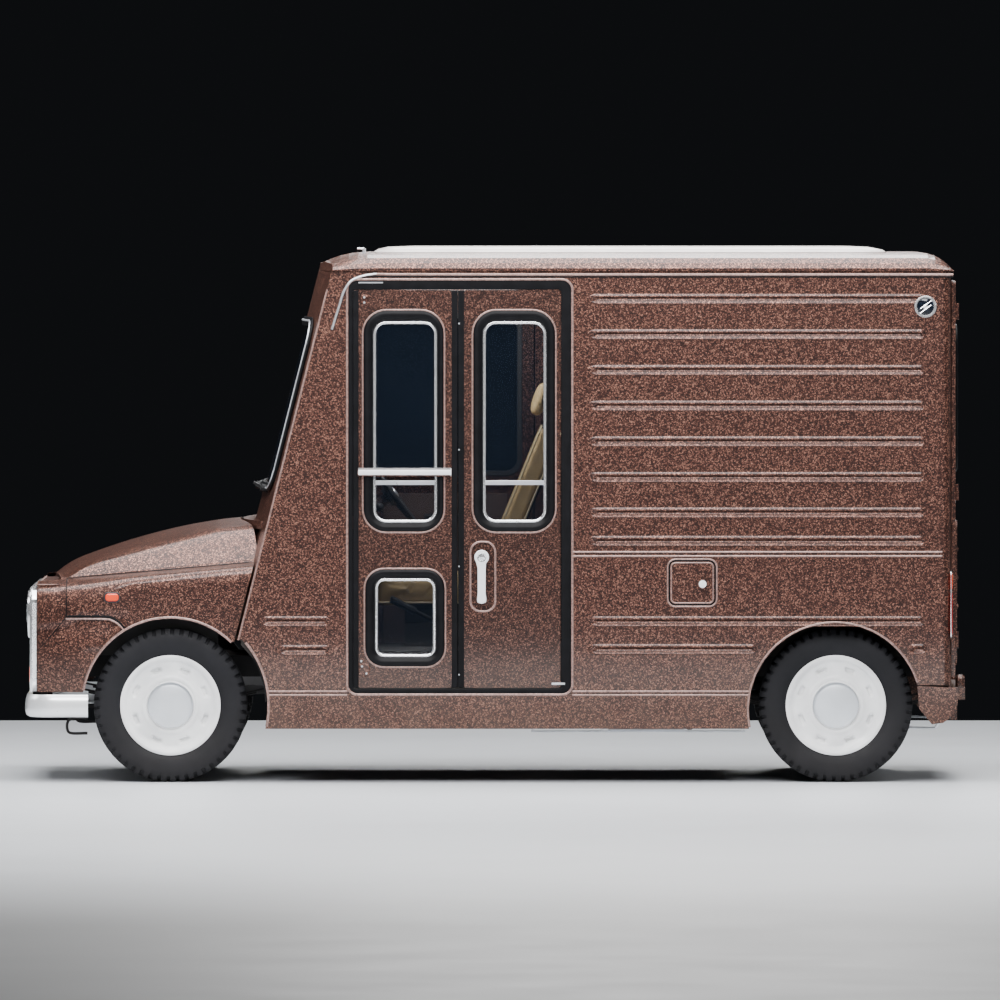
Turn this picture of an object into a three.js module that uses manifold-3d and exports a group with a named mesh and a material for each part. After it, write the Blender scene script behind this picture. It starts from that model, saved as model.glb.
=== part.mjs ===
// A small walk-through mail delivery truck: forward-sloping bonnet, tall ribbed box body,
// folding kerb-side door, hinged driver's door, twin rear doors, ladder frame, leaf springs.
// Millimetres. +X points to the rear, +Y to the truck's right side, +Z up.
// The origin is on the ground, under the middle of the truck.
import * as THREE from "three";
import { mergeVertices } from "three/addons/utils/BufferGeometryUtils.js";
import Module from "manifold-3d";

const wasm = await Module();
wasm.setup();

// ---------------------------------------------------------------- driving dimensions
const OVERALL_HALF_LENGTH = 1984;
const FRONT_AXLE_X = -1360;
const WHEELBASE = 2800;
const REAR_AXLE_X = FRONT_AXLE_X + WHEELBASE;
const TYRE_RADIUS = 323;
const TYRE_HALF_WIDTH = 80;
const WHEEL_Y = 695;
const KINGPIN_Y = 590;
const WHEEL_SIDES = 20;
const HALF_WIDTH = 845; // outer face of the body sides
const SKIN = 20; // thickness of the body sides
const GAP = 0.5; // running gap between neighbours
const SILL_Z = 227;
const FLOOR_Z = 540;
const FLOOR_THICKNESS = 18;
const EAVES_Z = 2150; // where the roof meets the sides
const ROOF_Z = 2225;
const ROOF_PANEL_Z = 2251;
const REAR_X = 1921; // rear edge of the body sides
const ROOF_REAR_X = 1934;
const RAKE = 0.2541; // how far the cab front leans back for each mm of height
const RAKE_X = -1073; // front edge of the body side at height RAKE_Z
const RAKE_Z = 596;
const FRONT_BULGE = 66; // how far the cab front bows forward in plan
const FRONT_SKIN = 25;
const NOSE_X = -1925;
const RAIL_Y = 330;
const RAIL_HALF_WIDTH = 30;
const RAIL_BOTTOM = 430;
const RAIL_TOP = 520;
const DOOR_FRONT_X = -611;
const KERB_DOOR_REAR_X = 327;
const DRIVER_DOOR_REAR_X = 180;
const DOOR_BOTTOM = 375;
const DOOR_TOP = 2112;
const POST_INNER_Y = 793;
const LEAF_INNER_Y = 816;
const LEAF_OUTER_Y = 840;
const STEERING_CENTRE = new THREE.Vector3(-430, 380, 1190);
const STEERING_AXIS = new THREE.Vector3(0.812, 0, 0.584).normalize();
const LEFT = -1;
const RIGHT = 1;

// ---------------------------------------------------------------- colours
const PAINT = { color: 0x5f3a31, roughness: 0.35, metalness: 0.6 };
const CHROME = { color: 0xe8eaee, roughness: 0.12, metalness: 1 };
const GLASS = { color: 0x1b2430, roughness: 0.05, metalness: 0 };
const RUBBER = { color: 0x2b2b2f, roughness: 0.85, metalness: 0 };
const BLACK_STEEL = { color: 0x202124, roughness: 0.6, metalness: 0.5 };
const WHEEL_WHITE = { color: 0xf0f0f0, roughness: 0.4, metalness: 0 };
const ROOF_WHITE = { color: 0xd8d4cf, roughness: 0.5, metalness: 0 };
const TAN = { color: 0xa48a63, roughness: 0.7, metalness: 0 };
const TRIM_BROWN = { color: 0x4a2f25, roughness: 0.7, metalness: 0 };
const CAST = { color: 0x77797b, roughness: 0.6, metalness: 0.7 };
const LENS = { color: 0xe9f2f5, roughness: 0.1, metalness: 0 };

// ---------------------------------------------------------------- solids from three.js geometry
function solid(geometry) {
  const bare = new THREE.BufferGeometry();
  const flat = geometry.index ? geometry.toNonIndexed() : geometry;
  bare.setAttribute("position", flat.getAttribute("position"));
  const merged = mergeVertices(bare, 1e-3);
  const build = (triVerts) =>
    new wasm.Manifold(
      new wasm.Mesh({ numProp: 3, vertProperties: merged.attributes.position.array, triVerts }),
    );
  const triVerts = new Uint32Array(merged.index.array);
  const made = build(triVerts);
  return made.volume() < 0 ? build(triVerts.reverse()) : made;
}

function union(...solids) {
  return solids.reduce((a, b) => a.add(b));
}

function box(x0, x1, y0, y1, z0, z1) {
  const geometry = new THREE.BoxGeometry(x1 - x0, y1 - y0, z1 - z0);
  return solid(geometry.translate((x0 + x1) / 2, (y0 + y1) / 2, (z0 + z1) / 2));
}

function shapeOf(points) {
  return new THREE.Shape(points.map(([a, b]) => new THREE.Vector2(a, b)));
}

function extruded(shape, depth, curveSegments = 3) {
  return new THREE.ExtrudeGeometry(shape, { depth, bevelEnabled: false, curveSegments });
}

// A side-view outline (x, z) carried across from y0 to y1.
function acrossY(shape, y0, y1, curveSegments) {
  return solid(extruded(shape, y1 - y0, curveSegments).rotateX(Math.PI / 2).translate(0, y1, 0));
}

// A front-view outline (y, z) carried along from x0 to x1.
function alongX(shape, x0, x1) {
  const turn = new THREE.Matrix4().makeBasis(
    new THREE.Vector3(0, 1, 0),
    new THREE.Vector3(0, 0, 1),
    new THREE.Vector3(1, 0, 0),
  );
  return solid(extruded(shape, x1 - x0).applyMatrix4(turn).translate(x0, 0, 0));
}

// A plan outline (x, y) carried up from z0 to z1.
function upZ(shape, z0, z1) {
  return solid(extruded(shape, z1 - z0).translate(0, 0, z0));
}

function roundedRectangle(a0, a1, b0, b1, r) {
  const s = new THREE.Shape();
  s.moveTo(a0 + r, b0).lineTo(a1 - r, b0).absarc(a1 - r, b0 + r, r, -Math.PI / 2, 0);
  s.lineTo(a1, b1 - r).absarc(a1 - r, b1 - r, r, 0, Math.PI / 2);
  s.lineTo(a0 + r, b1).absarc(a0 + r, b1 - r, r, Math.PI / 2, Math.PI);
  s.lineTo(a0, b0 + r).absarc(a0 + r, b0 + r, r, Math.PI, 1.5 * Math.PI);
  return s;
}

// A round bar from point a to point b; r2 tapers it.
function bar(a, b, r, sides = 12, r2 = r) {
  const from = new THREE.Vector3(...a);
  const way = new THREE.Vector3(...b).sub(from);
  const geometry = new THREE.CylinderGeometry(r2, r, way.length(), sides);
  const turn = new THREE.Quaternion().setFromUnitVectors(
    new THREE.Vector3(0, 1, 0),
    way.clone().normalize(),
  );
  return solid(
    geometry.applyQuaternion(turn).translate(...from.addScaledVector(way, 0.5).toArray()),
  );
}

// A profile of (radius, offset) pairs turned about an axis through centre.
// Half a segment of turn puts a flat facet, not a corner, at the bottom.
function turned(profile, centre, axis, sides) {
  const points = profile.map(([r, o]) => new THREE.Vector2(r, o));
  const geometry = new THREE.LatheGeometry(points, sides, Math.PI / sides);
  const turn = new THREE.Quaternion().setFromUnitVectors(
    new THREE.Vector3(0, 1, 0),
    new THREE.Vector3(...axis).normalize(),
  );
  return solid(geometry.applyQuaternion(turn).translate(...centre));
}

// A closed shell between rows of surface points and the matching rows of its inner face.
function shell(rows, innerRows) {
  const across = rows[0].length;
  const positions = [rows, innerRows].flat(3);
  const under = rows.length * across;
  const index = [];
  const quad = (a, b, c, d) => index.push(a, b, c, a, c, d);
  for (let i = 0; i + 1 < rows.length; i++) {
    for (let j = 0; j + 1 < across; j++) {
      const a = i * across + j;
      quad(a, a + 1, a + across + 1, a + across);
      quad(under + a, under + a + across, under + a + across + 1, under + a + 1);
    }
  }
  for (let i = 0; i + 1 < rows.length; i++) {
    const a = i * across;
    const b = a + across - 1;
    quad(a, a + across, under + a + across, under + a);
    quad(b, under + b, under + b + across, b + across);
  }
  for (let j = 0; j + 1 < across; j++) {
    const b = (rows.length - 1) * across + j;
    quad(j, under + j, under + j + 1, j + 1);
    quad(b, b + 1, under + b + 1, under + b);
  }
  const geometry = new THREE.BufferGeometry();
  geometry.setAttribute("position", new THREE.Float32BufferAttribute(positions, 3));
  geometry.setIndex(index);
  return solid(geometry);
}

function steps(from, to, count) {
  return Array.from({ length: count + 1 }, (_, i) => from + ((to - from) * i) / count);
}

const group = new THREE.Group();

function add(name, made, finish) {
  const { numProp, vertProperties, triVerts } = made.getMesh();
  const positions = new Float32Array((vertProperties.length / numProp) * 3);
  for (let i = 0; i < positions.length / 3; i++) {
    positions.set(vertProperties.subarray(i * numProp, i * numProp + 3), i * 3);
  }
  const geometry = new THREE.BufferGeometry();
  geometry.setAttribute("position", new THREE.BufferAttribute(positions, 3));
  geometry.setIndex(new THREE.BufferAttribute(triVerts, 1));
  geometry.computeVertexNormals();
  const mesh = new THREE.Mesh(geometry, new THREE.MeshStandardMaterial(finish));
  mesh.name = name;
  group.add(mesh);
}

// ---------------------------------------------------------------- shared outlines
const rakeX = (z) => RAKE_X + (z - RAKE_Z) * RAKE;
const bulgeAt = (y) => FRONT_BULGE * (1 - (y / HALF_WIDTH) ** 2);
const bothSides = (make) => union(make(LEFT), make(RIGHT));
const between = (side, near, far) => (side > 0 ? [near, far] : [-far, -near]);

// The raked, bowed slab of the cab front, from `ahead` mm in front of its outer face to `behind` mm
// behind it, out to half-width w, and from z0 to z1.
function frontSlab(ahead, behind, w, z0, z1) {
  const ys = steps(-w, w, 14);
  const front = ys.map((y) => [-bulgeAt(y) - ahead, y]);
  const back = ys.map((y) => [-bulgeAt(y) + behind, y]).reverse();
  const lean = new THREE.Matrix4().set(1, 0, RAKE, 0, 0, 1, 0, 0, 0, 0, 1, 0, 0, 0, 0, 1);
  const geometry = extruded(shapeOf([...front, ...back]), z1 - z0);
  return solid(geometry.applyMatrix4(lean).translate(rakeX(z0), 0, z0));
}

// ---------------------------------------------------------------- chassis frame
const FRONT_SPRING = { x: FRONT_AXLE_X, half: 430, eyeZ: 392, seatZ: 302, thick: 26 };
const REAR_SPRING = { x: REAR_AXLE_X, half: 430, eyeZ: 350, seatZ: 256, thick: 26 };
const EYE_RADIUS = 20;

function chassisFrame() {
  const t = 7;
  const channel = (side) => {
    const outer = side * (RAIL_Y + RAIL_HALF_WIDTH);
    const inner = side * (RAIL_Y - RAIL_HALF_WIDTH);
    const web = outer - side * t;
    const section = [
      [outer, RAIL_BOTTOM],
      [outer, RAIL_TOP],
      [inner, RAIL_TOP],
      [inner, RAIL_TOP - t],
      [web, RAIL_TOP - t],
      [web, RAIL_BOTTOM + t],
      [inner, RAIL_BOTTOM + t],
      [inner, RAIL_BOTTOM],
    ];
    return alongX(shapeOf(section), -1890, 1900);
  };
  const crossX = [-1860, -480, 330, 900, 1860];
  const reach = RAIL_Y + RAIL_HALF_WIDTH - t + 2;
  const cross = crossX.map((x) => box(x - 30, x + 30, -reach, reach, 462, 512));
  const hangers = [FRONT_SPRING, REAR_SPRING].flatMap(({ x, half, eyeZ }) =>
    [-half, half].map((dx) =>
      bothSides((side) => {
        const [y0, y1] = between(side, RAIL_Y - 25, RAIL_Y + 25);
        return box(x + dx - 16, x + dx + 16, y0, y1, eyeZ + EYE_RADIUS + 2, RAIL_BOTTOM + 3);
      }),
    ),
  );
  return union(channel(LEFT), channel(RIGHT), ...cross, ...hangers);
}

// One leaf pack: a bowed main leaf with an eye at each end and shorter leaves under it.
function leafSpring({ x, half, eyeZ, seatZ, thick }, side) {
  const count = 12;
  const top = (u) => seatZ + thick + (eyeZ - seatZ - thick) * u * u;
  const depth = (u) => (Math.abs(u) < 0.36 ? thick : Math.abs(u) < 0.68 ? thick * 0.66 : thick * 0.33);
  const upper = steps(-1, 1, count).map((u) => [x + u * half, top(u)]);
  const lower = steps(-1, 1, count).map((u) => [x + u * half, top(u) - depth(u)]);
  const [y0, y1] = between(side, RAIL_Y - 28, RAIL_Y + 28);
  const leaves = acrossY(shapeOf([...lower, ...upper.reverse()]), y0, y1);
  const eye = (dx) => bar([x + dx, y0, eyeZ], [x + dx, y1, eyeZ], EYE_RADIUS, 10);
  return union(leaves, eye(-half), eye(half));
}

// ---------------------------------------------------------------- wheels and axles
function tyre(x, side) {
  const k = 1 / Math.cos(Math.PI / WHEEL_SIDES);
  const half = [
    [192, 60],
    [212, 60],
    [250, TYRE_HALF_WIDTH],
    [308, 72],
    [TYRE_RADIUS * k, 54],
  ];
  const mirror = half.map(([r, o]) => [r, -o]).reverse();
  const profile = [...half, ...mirror, half[0]];
  return turned(profile, [x, side * WHEEL_Y, TYRE_RADIUS], [0, side, 0], WHEEL_SIDES);
}

// A pressed wheel with a domed cap outside and a blind bore for its spindle inside.
function rim(x, side) {
  const profile = [
    [0, 60],
    [94, 34],
    [150, 30],
    [190, 66],
    [211, 66],
    [211, 60.6],
    [191.4, 60.6],
    [191.4, -60.6],
    [184, -60.6],
    [184, 24],
    [62, 12],
    [62, -38],
    [26, -38],
    [26, 34],
    [0, 34],
  ];
  return turned(profile, [x, side * WHEEL_Y, TYRE_RADIUS], [0, side, 0], WHEEL_SIDES);
}

function frontAxleBeam() {
  const x0 = FRONT_AXLE_X - 25;
  const x1 = FRONT_AXLE_X + 25;
  const eyeBottom = 288;
  const eyeTop = 356;
  const half = [
    [500, 250],
    [536, eyeBottom],
    [KINGPIN_Y, eyeBottom],
    [KINGPIN_Y, eyeTop],
    [530, eyeTop],
    [470, 300],
  ];
  const section = [...half, ...half.map(([y, z]) => [-y, z]).reverse()];
  const beam = alongX(shapeOf(section), x0, x1);
  const narrow = (side) => {
    const [y0, y1] = between(side, 555, 700);
    const slab = (a, b) => box(FRONT_AXLE_X + a, FRONT_AXLE_X + b, y0, y1, 200, 400);
    return union(slab(-40, -13), slab(13, 40));
  };
  const eye = (side) =>
    bar([FRONT_AXLE_X, side * KINGPIN_Y, eyeBottom], [FRONT_AXLE_X, side * KINGPIN_Y, eyeTop], 19, 16);
  const bore = (side) =>
    bar([FRONT_AXLE_X, side * KINGPIN_Y, 240], [FRONT_AXLE_X, side * KINGPIN_Y, 400], 14, 16);
  return union(beam.subtract(bothSides(narrow)), bothSides(eye)).subtract(bothSides(bore));
}

// Steering knuckle: two ears round the beam's eye, a kingpin, a spindle and a steering arm.
const STEERING_ARM = 150;
const ARM_EYE_Y = 560;
function knuckle(side) {
  const x = FRONT_AXLE_X;
  const y = (near, far) => between(side, near, far);
  const ear = (z0, z1) => box(x - 28, x + 28, ...y(562, 622), z0, z1);
  const plate = box(x - 28, x + 28, ...y(611, 622), 263, 383);
  const pin = bar([x, side * KINGPIN_Y, 265], [x, side * KINGPIN_Y, 381], 12, 16);
  const spindle = bar([x, side * 615, TYRE_RADIUS], [x, side * 720, TYRE_RADIUS], 20, 16);
  const armPlan = [
    [x + 20, side * 576],
    [x + 20, side * 604],
    [x + STEERING_ARM, side * (ARM_EYE_Y + 10)],
    [x + STEERING_ARM, side * (ARM_EYE_Y - 10)],
  ];
  const arm = upZ(shapeOf(armPlan), 263, 281);
  const eye = bar(
    [x + STEERING_ARM, side * ARM_EYE_Y, 263],
    [x + STEERING_ARM, side * ARM_EYE_Y, 281],
    18,
    12,
  );
  return union(ear(357, 383), ear(263, 287), plate, pin, spindle, arm, eye);
}

function tieRod() {
  const x = FRONT_AXLE_X + STEERING_ARM;
  const rod = bar([x, -ARM_EYE_Y, 250], [x, ARM_EYE_Y, 250], 11, 10);
  const end = (side) => bar([x, side * ARM_EYE_Y, 236], [x, side * ARM_EYE_Y, 262], 20, 12);
  return union(rod, bothSides(end));
}

function rearAxle() {
  const z = TYRE_RADIUS;
  const x = REAR_AXLE_X;
  const tube = bar([x, -612, z], [x, 612, z], 36, 16);
  const bowl = turned(
    [
      [0, -95],
      [80, -80],
      [118, -40],
      [118, 40],
      [80, 80],
      [0, 95],
    ],
    [x, 0, z],
    [1, 0, 0],
    16,
  );
  const nose = bar([x - 90, 0, z], [x - 150, 0, z], 50, 12, 36);
  const backing = (side) => bar([x, side * 600, z], [x, side * 622, z], 120, 20);
  const spindle = (side) => bar([x, side * 615, z], [x, side * 720, z], 20, 16);
  return union(tube, bowl, nose, bothSides(backing), bothSides(spindle));
}

const SHAFT_FRONT = [-552, 0, 415];
const SHAFT_REAR = [REAR_AXLE_X - 154, 0, TYRE_RADIUS];
function propShaft() {
  const a = new THREE.Vector3(...SHAFT_FRONT);
  const b = new THREE.Vector3(...SHAFT_REAR);
  const at = (t) => a.clone().lerp(b, t).toArray();
  const tube = bar(at(0), at(1), 27, 14);
  return union(tube, bar(at(0), at(0.01), 44, 14), bar(at(0.99), at(1), 44, 14));
}

// ---------------------------------------------------------------- body
const RIB = { front: 405, rear: 1803, height: 32, depth: 7 };
// Heights of the long horizontal grooves pressed into the box sides.
const RIB_ZS = [2034, 1885, 1735, 1585, 1435, 1285, 1136, 1017, 679];
// Narrow seams: one at the waist behind the door, one along the sill.
const BELT_Z = 962;
const SILL_SEAM_Z = 377;
const FUEL_FLAP = { x0: 737, x1: 932, z0: 747, z1: 935, radius: 28 };

function sideOutline() {
  const s = new THREE.Shape();
  const frontArch = 412;
  const rearArch = { x: 1434, z: 310, r: 361 };
  const rearLowZ = 411;
  const rearLowX = rearArch.x + Math.sqrt(rearArch.r ** 2 - (rearLowZ - rearArch.z) ** 2);
  const a0 = Math.asin((SILL_Z - TYRE_RADIUS) / frontArch);
  const a1 = Math.asin((RAKE_Z + 8 - TYRE_RADIUS) / frontArch);
  s.moveTo(rearArch.x - rearArch.r, SILL_Z);
  s.lineTo(rearArch.x - rearArch.r, rearArch.z);
  const end = Math.atan2(rearLowZ - rearArch.z, rearLowX - rearArch.x);
  s.absarc(rearArch.x, rearArch.z, rearArch.r, Math.PI, end, true);
  s.lineTo(REAR_X, rearLowZ);
  s.lineTo(REAR_X, EAVES_Z);
  s.lineTo(rakeX(EAVES_Z), EAVES_Z);
  s.lineTo(rakeX(RAKE_Z + 12), RAKE_Z + 12);
  s.absarc(FRONT_AXLE_X, TYRE_RADIUS, frontArch, a1, a0, true);
  s.closePath();
  return s;
}

function groove(x0, x1, z, outerY, side, height = RIB.height, depth = RIB.depth) {
  const [y0, y1] = side > 0 ? [outerY - depth, outerY + 10] : [outerY - 10, outerY + depth];
  return box(x0, x1, y0, y1, z - height / 2, z + height / 2);
}

// What is cut away to round the upright rear corner of the body.
function rearCorner(side) {
  const r = 34;
  const [y0, y1] = between(side, HALF_WIDTH - r, HALF_WIDTH + 5);
  const round = bar([REAR_X - r, side * (HALF_WIDTH - r), 200], [REAR_X - r, side * (HALF_WIDTH - r), 2300], r, 28);
  return box(REAR_X - r, REAR_X + 5, y0, y1, 390, 2200).subtract(round);
}

function bodySide(side) {
  const outerY = side * HALF_WIDTH;
  const [y0, y1] = between(side, HALF_WIDTH - SKIN, HALF_WIDTH);
  const doorRear = side === LEFT ? KERB_DOOR_REAR_X : DRIVER_DOOR_REAR_X;
  const door = roundedRectangle(DOOR_FRONT_X, doorRear, DOOR_BOTTOM, DOOR_TOP, 40);
  const post = box(REAR_X - 60, REAR_X, ...between(side, POST_INNER_Y, HALF_WIDTH - 2), 545, EAVES_Z - 2);
  let made = union(acrossY(sideOutline(), y0, y1, 7), post).subtract(acrossY(door, y0 - 10, y1 + 10));
  const cuts = [
    ...RIB_ZS.map((z) => groove(RIB.front, RIB.rear, z, outerY, side)),
    groove(RIB.front, 1095, 562, outerY, side),
    groove(1753, 1813, 562, outerY, side),
    groove(-977, -699, 679, outerY, side),
    groove(-906, -699, 558, outerY, side),
    groove(doorRear - 5, 1885, BELT_Z, outerY, side, 9, 6),
    groove(doorRear - 5, 1100, SILL_SEAM_Z, outerY, side, 7, 5),
    groove(-990, DOOR_FRONT_X + 5, SILL_SEAM_Z, outerY, side, 7, 5),
    rearCorner(side),
  ];
  cuts.forEach((cut) => (made = made.subtract(cut)));
  if (side === LEFT) {
    const { x0, x1, z0, z1, radius } = FUEL_FLAP;
    made = made.subtract(acrossY(roundedRectangle(x0, x1, z0, z1, radius), y0 - 10, y1 + 10));
  }
  return made;
}

// Floor with rear wheel boxes, a step well inside each front door and a toe board.
const KERB_WELL_Y = 385;
const DRIVER_WELL_Y = 640;
const WELL_Z = 377;
const WHEEL_BOX = { x0: 1066, x1: 1802, y: 565, top: 722 };

// Two ears on the floor and the pin the handbrake lever turns on.
const HANDBRAKE = { x: -120, y: 110, z: 585, pin: 8 };
function handbrakeBracket() {
  const { x, y, z, pin } = HANDBRAKE;
  const ear = (y0) => box(x - 26, x + 26, y0, y0 + 5, FLOOR_Z - 2, z + 24);
  return union(ear(y - 21), ear(y + 16), bar([x, y - 20, z], [x, y + 20, z], pin, 12));
}

function floorPan() {
  const w = HALF_WIDTH - SKIN - 1;
  const low = FLOOR_Z - FLOOR_THICKNESS;
  const t = 14;
  let made = box(-1010, REAR_X - 2, -w, w, low, FLOOR_Z);
  const toe = [
    [-1010, low],
    [-1062, 580],
    [-1062, 599],
    [-1050, 599],
    [-1000, FLOOR_Z],
  ];
  made = made.add(acrossY(shapeOf(toe), -w, w));
  const well = (side, y, rear) => {
    const room = (a, b, reach, z0, z1) =>
      box(DOOR_FRONT_X + 2 + a, rear - 2 - a, ...between(side, y + b, reach), z0, z1);
    made = made.subtract(room(0, 0, w + 10, low - 10, FLOOR_Z + 10));
    const walls = room(-t, -t, POST_INNER_Y - 3, WELL_Z, low + 1);
    const tread = room(0, 0, w, WELL_Z, WELL_Z + t);
    made = made.add(walls.subtract(room(0, 0, w + 10, WELL_Z + t, FLOOR_Z + 20))).add(tread);
  };
  well(LEFT, KERB_WELL_Y, KERB_DOOR_REAR_X);
  well(RIGHT, DRIVER_WELL_Y, DRIVER_DOOR_REAR_X);
  const house = (side) => {
    const { x0, x1, y, top } = WHEEL_BOX;
    made = made.add(box(x0, x1, ...between(side, y, w), low, top));
    made = made.subtract(box(x0 + t, x1 - t, ...between(side, y + t, w + 50), low - 20, top - t));
  };
  house(LEFT);
  house(RIGHT);
  const seatBox = box(-380, -20, 190, 570, FLOOR_Z - 2, 640);
  const seatHollow = box(-366, -34, 204, 556, low - 10, 626);
  return union(made, seatBox, handbrakeBracket()).subtract(seatHollow);
}

// Height of the roof over the eaves across its width, at full height.
const ROOF_HALF = [
  [853, 12],
  [838, 34],
  [805, 55],
  [740, 68],
  [650, ROOF_Z - EAVES_Z],
  [300, ROOF_Z - EAVES_Z],
];
const ROOF_XS = [-800, -730, -690, -650, -610, -570, -530, -495, 1790, 1825, 1855, 1880, 1902, 1920, ROOF_REAR_X];

// The share of the full height left at x: the roof falls away at both ends.
function roofShare(x, y) {
  const inward = x - (rakeX(EAVES_Z + 27) - bulgeAt(y));
  const front = Math.min(1, Math.max(0, inward / 175));
  const rear = Math.min(1, Math.max(0, (ROOF_REAR_X - x) / 125));
  const share = (t, low) => low + (1 - low) * (1 - (1 - t) ** 2);
  return Math.min(share(front, 0.42), share(rear, 0.06));
}

function roofBlock(inset) {
  const half = ROOF_HALF.map(([y, h]) => [y - inset, h]);
  const across = [...half, ...half.map(([y, h]) => [-y, h]).reverse()];
  const rows = ROOF_XS.map((x) => across.map(([y, h]) => [x, y, EAVES_Z + h * roofShare(x, y) - inset]));
  const foot = rows.map((row) => row.map(([x, y]) => [x, y, EAVES_Z - (inset ? 60 : 0)]));
  return shell(rows.reverse(), foot.reverse());
}

const SKYLIGHT = { x0: -480, x1: 1630, y: 560, lip: 26 };

function roofShell() {
  const t = 22;
  const room = frontSlab(0, 3200, 870, EAVES_Z - 1, 2300);
  const inner = frontSlab(-t, 3200, 870, EAVES_Z - 1, 2300);
  const rearWall = box(REAR_X - 60, 2100, -900, 900, 2000, 2300);
  const outer = roofBlock(0).intersect(room);
  const hollow = roofBlock(t).intersect(inner).subtract(rearWall);
  const light = upZ(roundedRectangle(SKYLIGHT.x0, SKYLIGHT.x1, -SKYLIGHT.y, SKYLIGHT.y, 60), 2100, 2300);
  return outer.subtract(hollow).subtract(light);
}

function roofPanel() {
  const { x0, x1, y, lip } = SKYLIGHT;
  const low = ROOF_Z + GAP;
  const tray = upZ(roundedRectangle(x0 - lip, x1 + lip, -y - 40, y + 40, 70), low, ROOF_PANEL_Z);
  const under = upZ(roundedRectangle(x0 + 20, x1 - 20, -y + 20, y - 20, 50), low - 10, ROOF_PANEL_Z - 6);
  return tray.subtract(under);
}

// Cab front: a raked, bowed wall with the windscreen opening, and the cowl shelf ahead of it.
const WINDSCREEN = { y: 712, z0: 1250, z1: 1925, radius: 95 };
const hoodRearX = (y) => -985 - 90 * (1 - (Math.abs(y) / 700) ** 2);

function windscreenOpening(inset) {
  const { y, z0, z1, radius } = WINDSCREEN;
  const shape = roundedRectangle(-y + inset, y - inset, z0 + inset, z1 - inset, radius - inset);
  return alongX(shape, -1300, -500);
}

function cabFront() {
  const wall = frontSlab(0, FRONT_SKIN, HALF_WIDTH - SKIN - 1, 600, EAVES_Z - 2);
  const ys = steps(-690, 690, 12);
  const front = ys.map((y) => [hoodRearX(y) + 8, y]);
  const back = ys.map((y) => [rakeX(1085) - bulgeAt(y) + 10, y]).reverse();
  const cowl = upZ(shapeOf([...front, ...back]), 1062, 1096);
  return union(wall, cowl).subtract(windscreenOpening(0));
}

function windscreen() {
  return frontSlab(-8, 16, 800, 1200, 2000).intersect(windscreenOpening(1));
}

// ---------------------------------------------------------------- bonnet, wings and nose
const HOOD_FRONT_X = -1862;
const creaseZ = (x) => 926 + 0.0899 * (x + 1010);
const crownZ = (x) => 1102 - 0.001554 * Math.max(0, -985 - x) ** 1.746 - 0.0022 * Math.max(0, -1760 - x) ** 2;
const creaseY = (x) => 700 - 0.00014 * Math.max(0, -1100 - x) ** 2;

function hoodZ(x, u) {
  return creaseZ(x) + (crownZ(x) - creaseZ(x)) * Math.sqrt(1 - Math.abs(u) ** 3.4);
}

function hood() {
  const us = [-1, -0.97, -0.88, -0.7, -0.36, 0, 0.36, 0.7, 0.88, 0.97, 1];
  const rows = steps(0, 1, 7).map((t) =>
    us.map((u) => {
      const rear = hoodRearX(u * 700) - 2;
      const front = HOOD_FRONT_X + 50 * Math.abs(u) ** 2;
      const x = rear + (front - rear) * t;
      return [x, u * (creaseY(x) - 3), hoodZ(x, u)];
    }),
  );
  const under = rows.map((row) => row.map(([x, y, z]) => [x, y, z - 15]));
  return shell(rows, under).subtract(frontSlab(8, 500, 900, 300, 1120));
}

const FENDER = { y: 792, belly: 765, bottom: 378, arch: 366, skin: 15 };
const fenderY = (x) => FENDER.y - 0.00042 * Math.max(0, -1560 - x) ** 2;

// One cross-section of a wing at x: over the shoulder and down the outer face.
function fenderRow(x, side, inset) {
  const y0 = creaseY(x) + 2;
  const y1 = fenderY(x) - inset;
  const z0 = creaseZ(x) - inset;
  const shoulder = [0, 22, 45, 68, 90].map((deg) => {
    const a = (deg * Math.PI) / 180;
    return [x, side * (y0 + (y1 - y0) * Math.sin(a)), FENDER.belly + (z0 - FENDER.belly) * Math.cos(a)];
  });
  return [...shoulder, [x, side * y1, 600], [x, side * (y1 - 12), FENDER.bottom]];
}

function fender(side) {
  const xs = steps(-1030, -1922, 8);
  const rows = (inset) => xs.map((x) => fenderRow(x, side, inset));
  const arch = bar([FRONT_AXLE_X, side * 500, 323], [FRONT_AXLE_X, side * 900, 323], FENDER.arch, 36);
  const behind = frontSlab(7, 500, 900, 300, 1100);
  const below = box(FRONT_AXLE_X, -900, -900, 900, 200, 590);
  const front = box(-1990, NOSE_X + 4, -900, 900, 300, 1000);
  const cuts = union(arch, behind, below, front, noseEnvelope(2));
  return shell(rows(0), rows(FENDER.skin)).subtract(cuts);
}

// The nose shell's side-view outline; grow widens it to give the wings their clearance.
function noseEnvelope(grow) {
  const outline = [
    [NOSE_X - 40, 842 + grow],
    [-1795 + grow, 842 + grow],
    [-1797 + grow, 760],
    [-1815 + grow, 690 - grow],
    [-1855 + grow, 632 - grow],
    [-1890, 600 - grow],
    [NOSE_X - 40, 590 - grow],
  ];
  return acrossY(shapeOf(outline), -720 - grow, 720 + grow);
}

function nosePanel() {
  const plan = upZ(roundedRectangle(NOSE_X, -1700, -705, 705, 70), 500, 842);
  const body = noseEnvelope(0).intersect(plan);
  const top = (z) => [
    [NOSE_X - 10, z],
    [-1700, z + 10],
    [-1700, 900],
    [NOSE_X - 10, 900],
  ];
  const outer = body.subtract(acrossY(shapeOf(top(826)), -900, 900));
  const room = upZ(roundedRectangle(NOSE_X + 22, -1600, -688, 688, 55), 400, 812);
  const mouth = alongX(roundedRectangle(-648, 648, 606, 798, 20), NOSE_X - 20, NOSE_X + 60);
  return outer.subtract(room).subtract(mouth);
}

const HEADLAMP = { y: 545, z: 701, radius: 89 };

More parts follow.
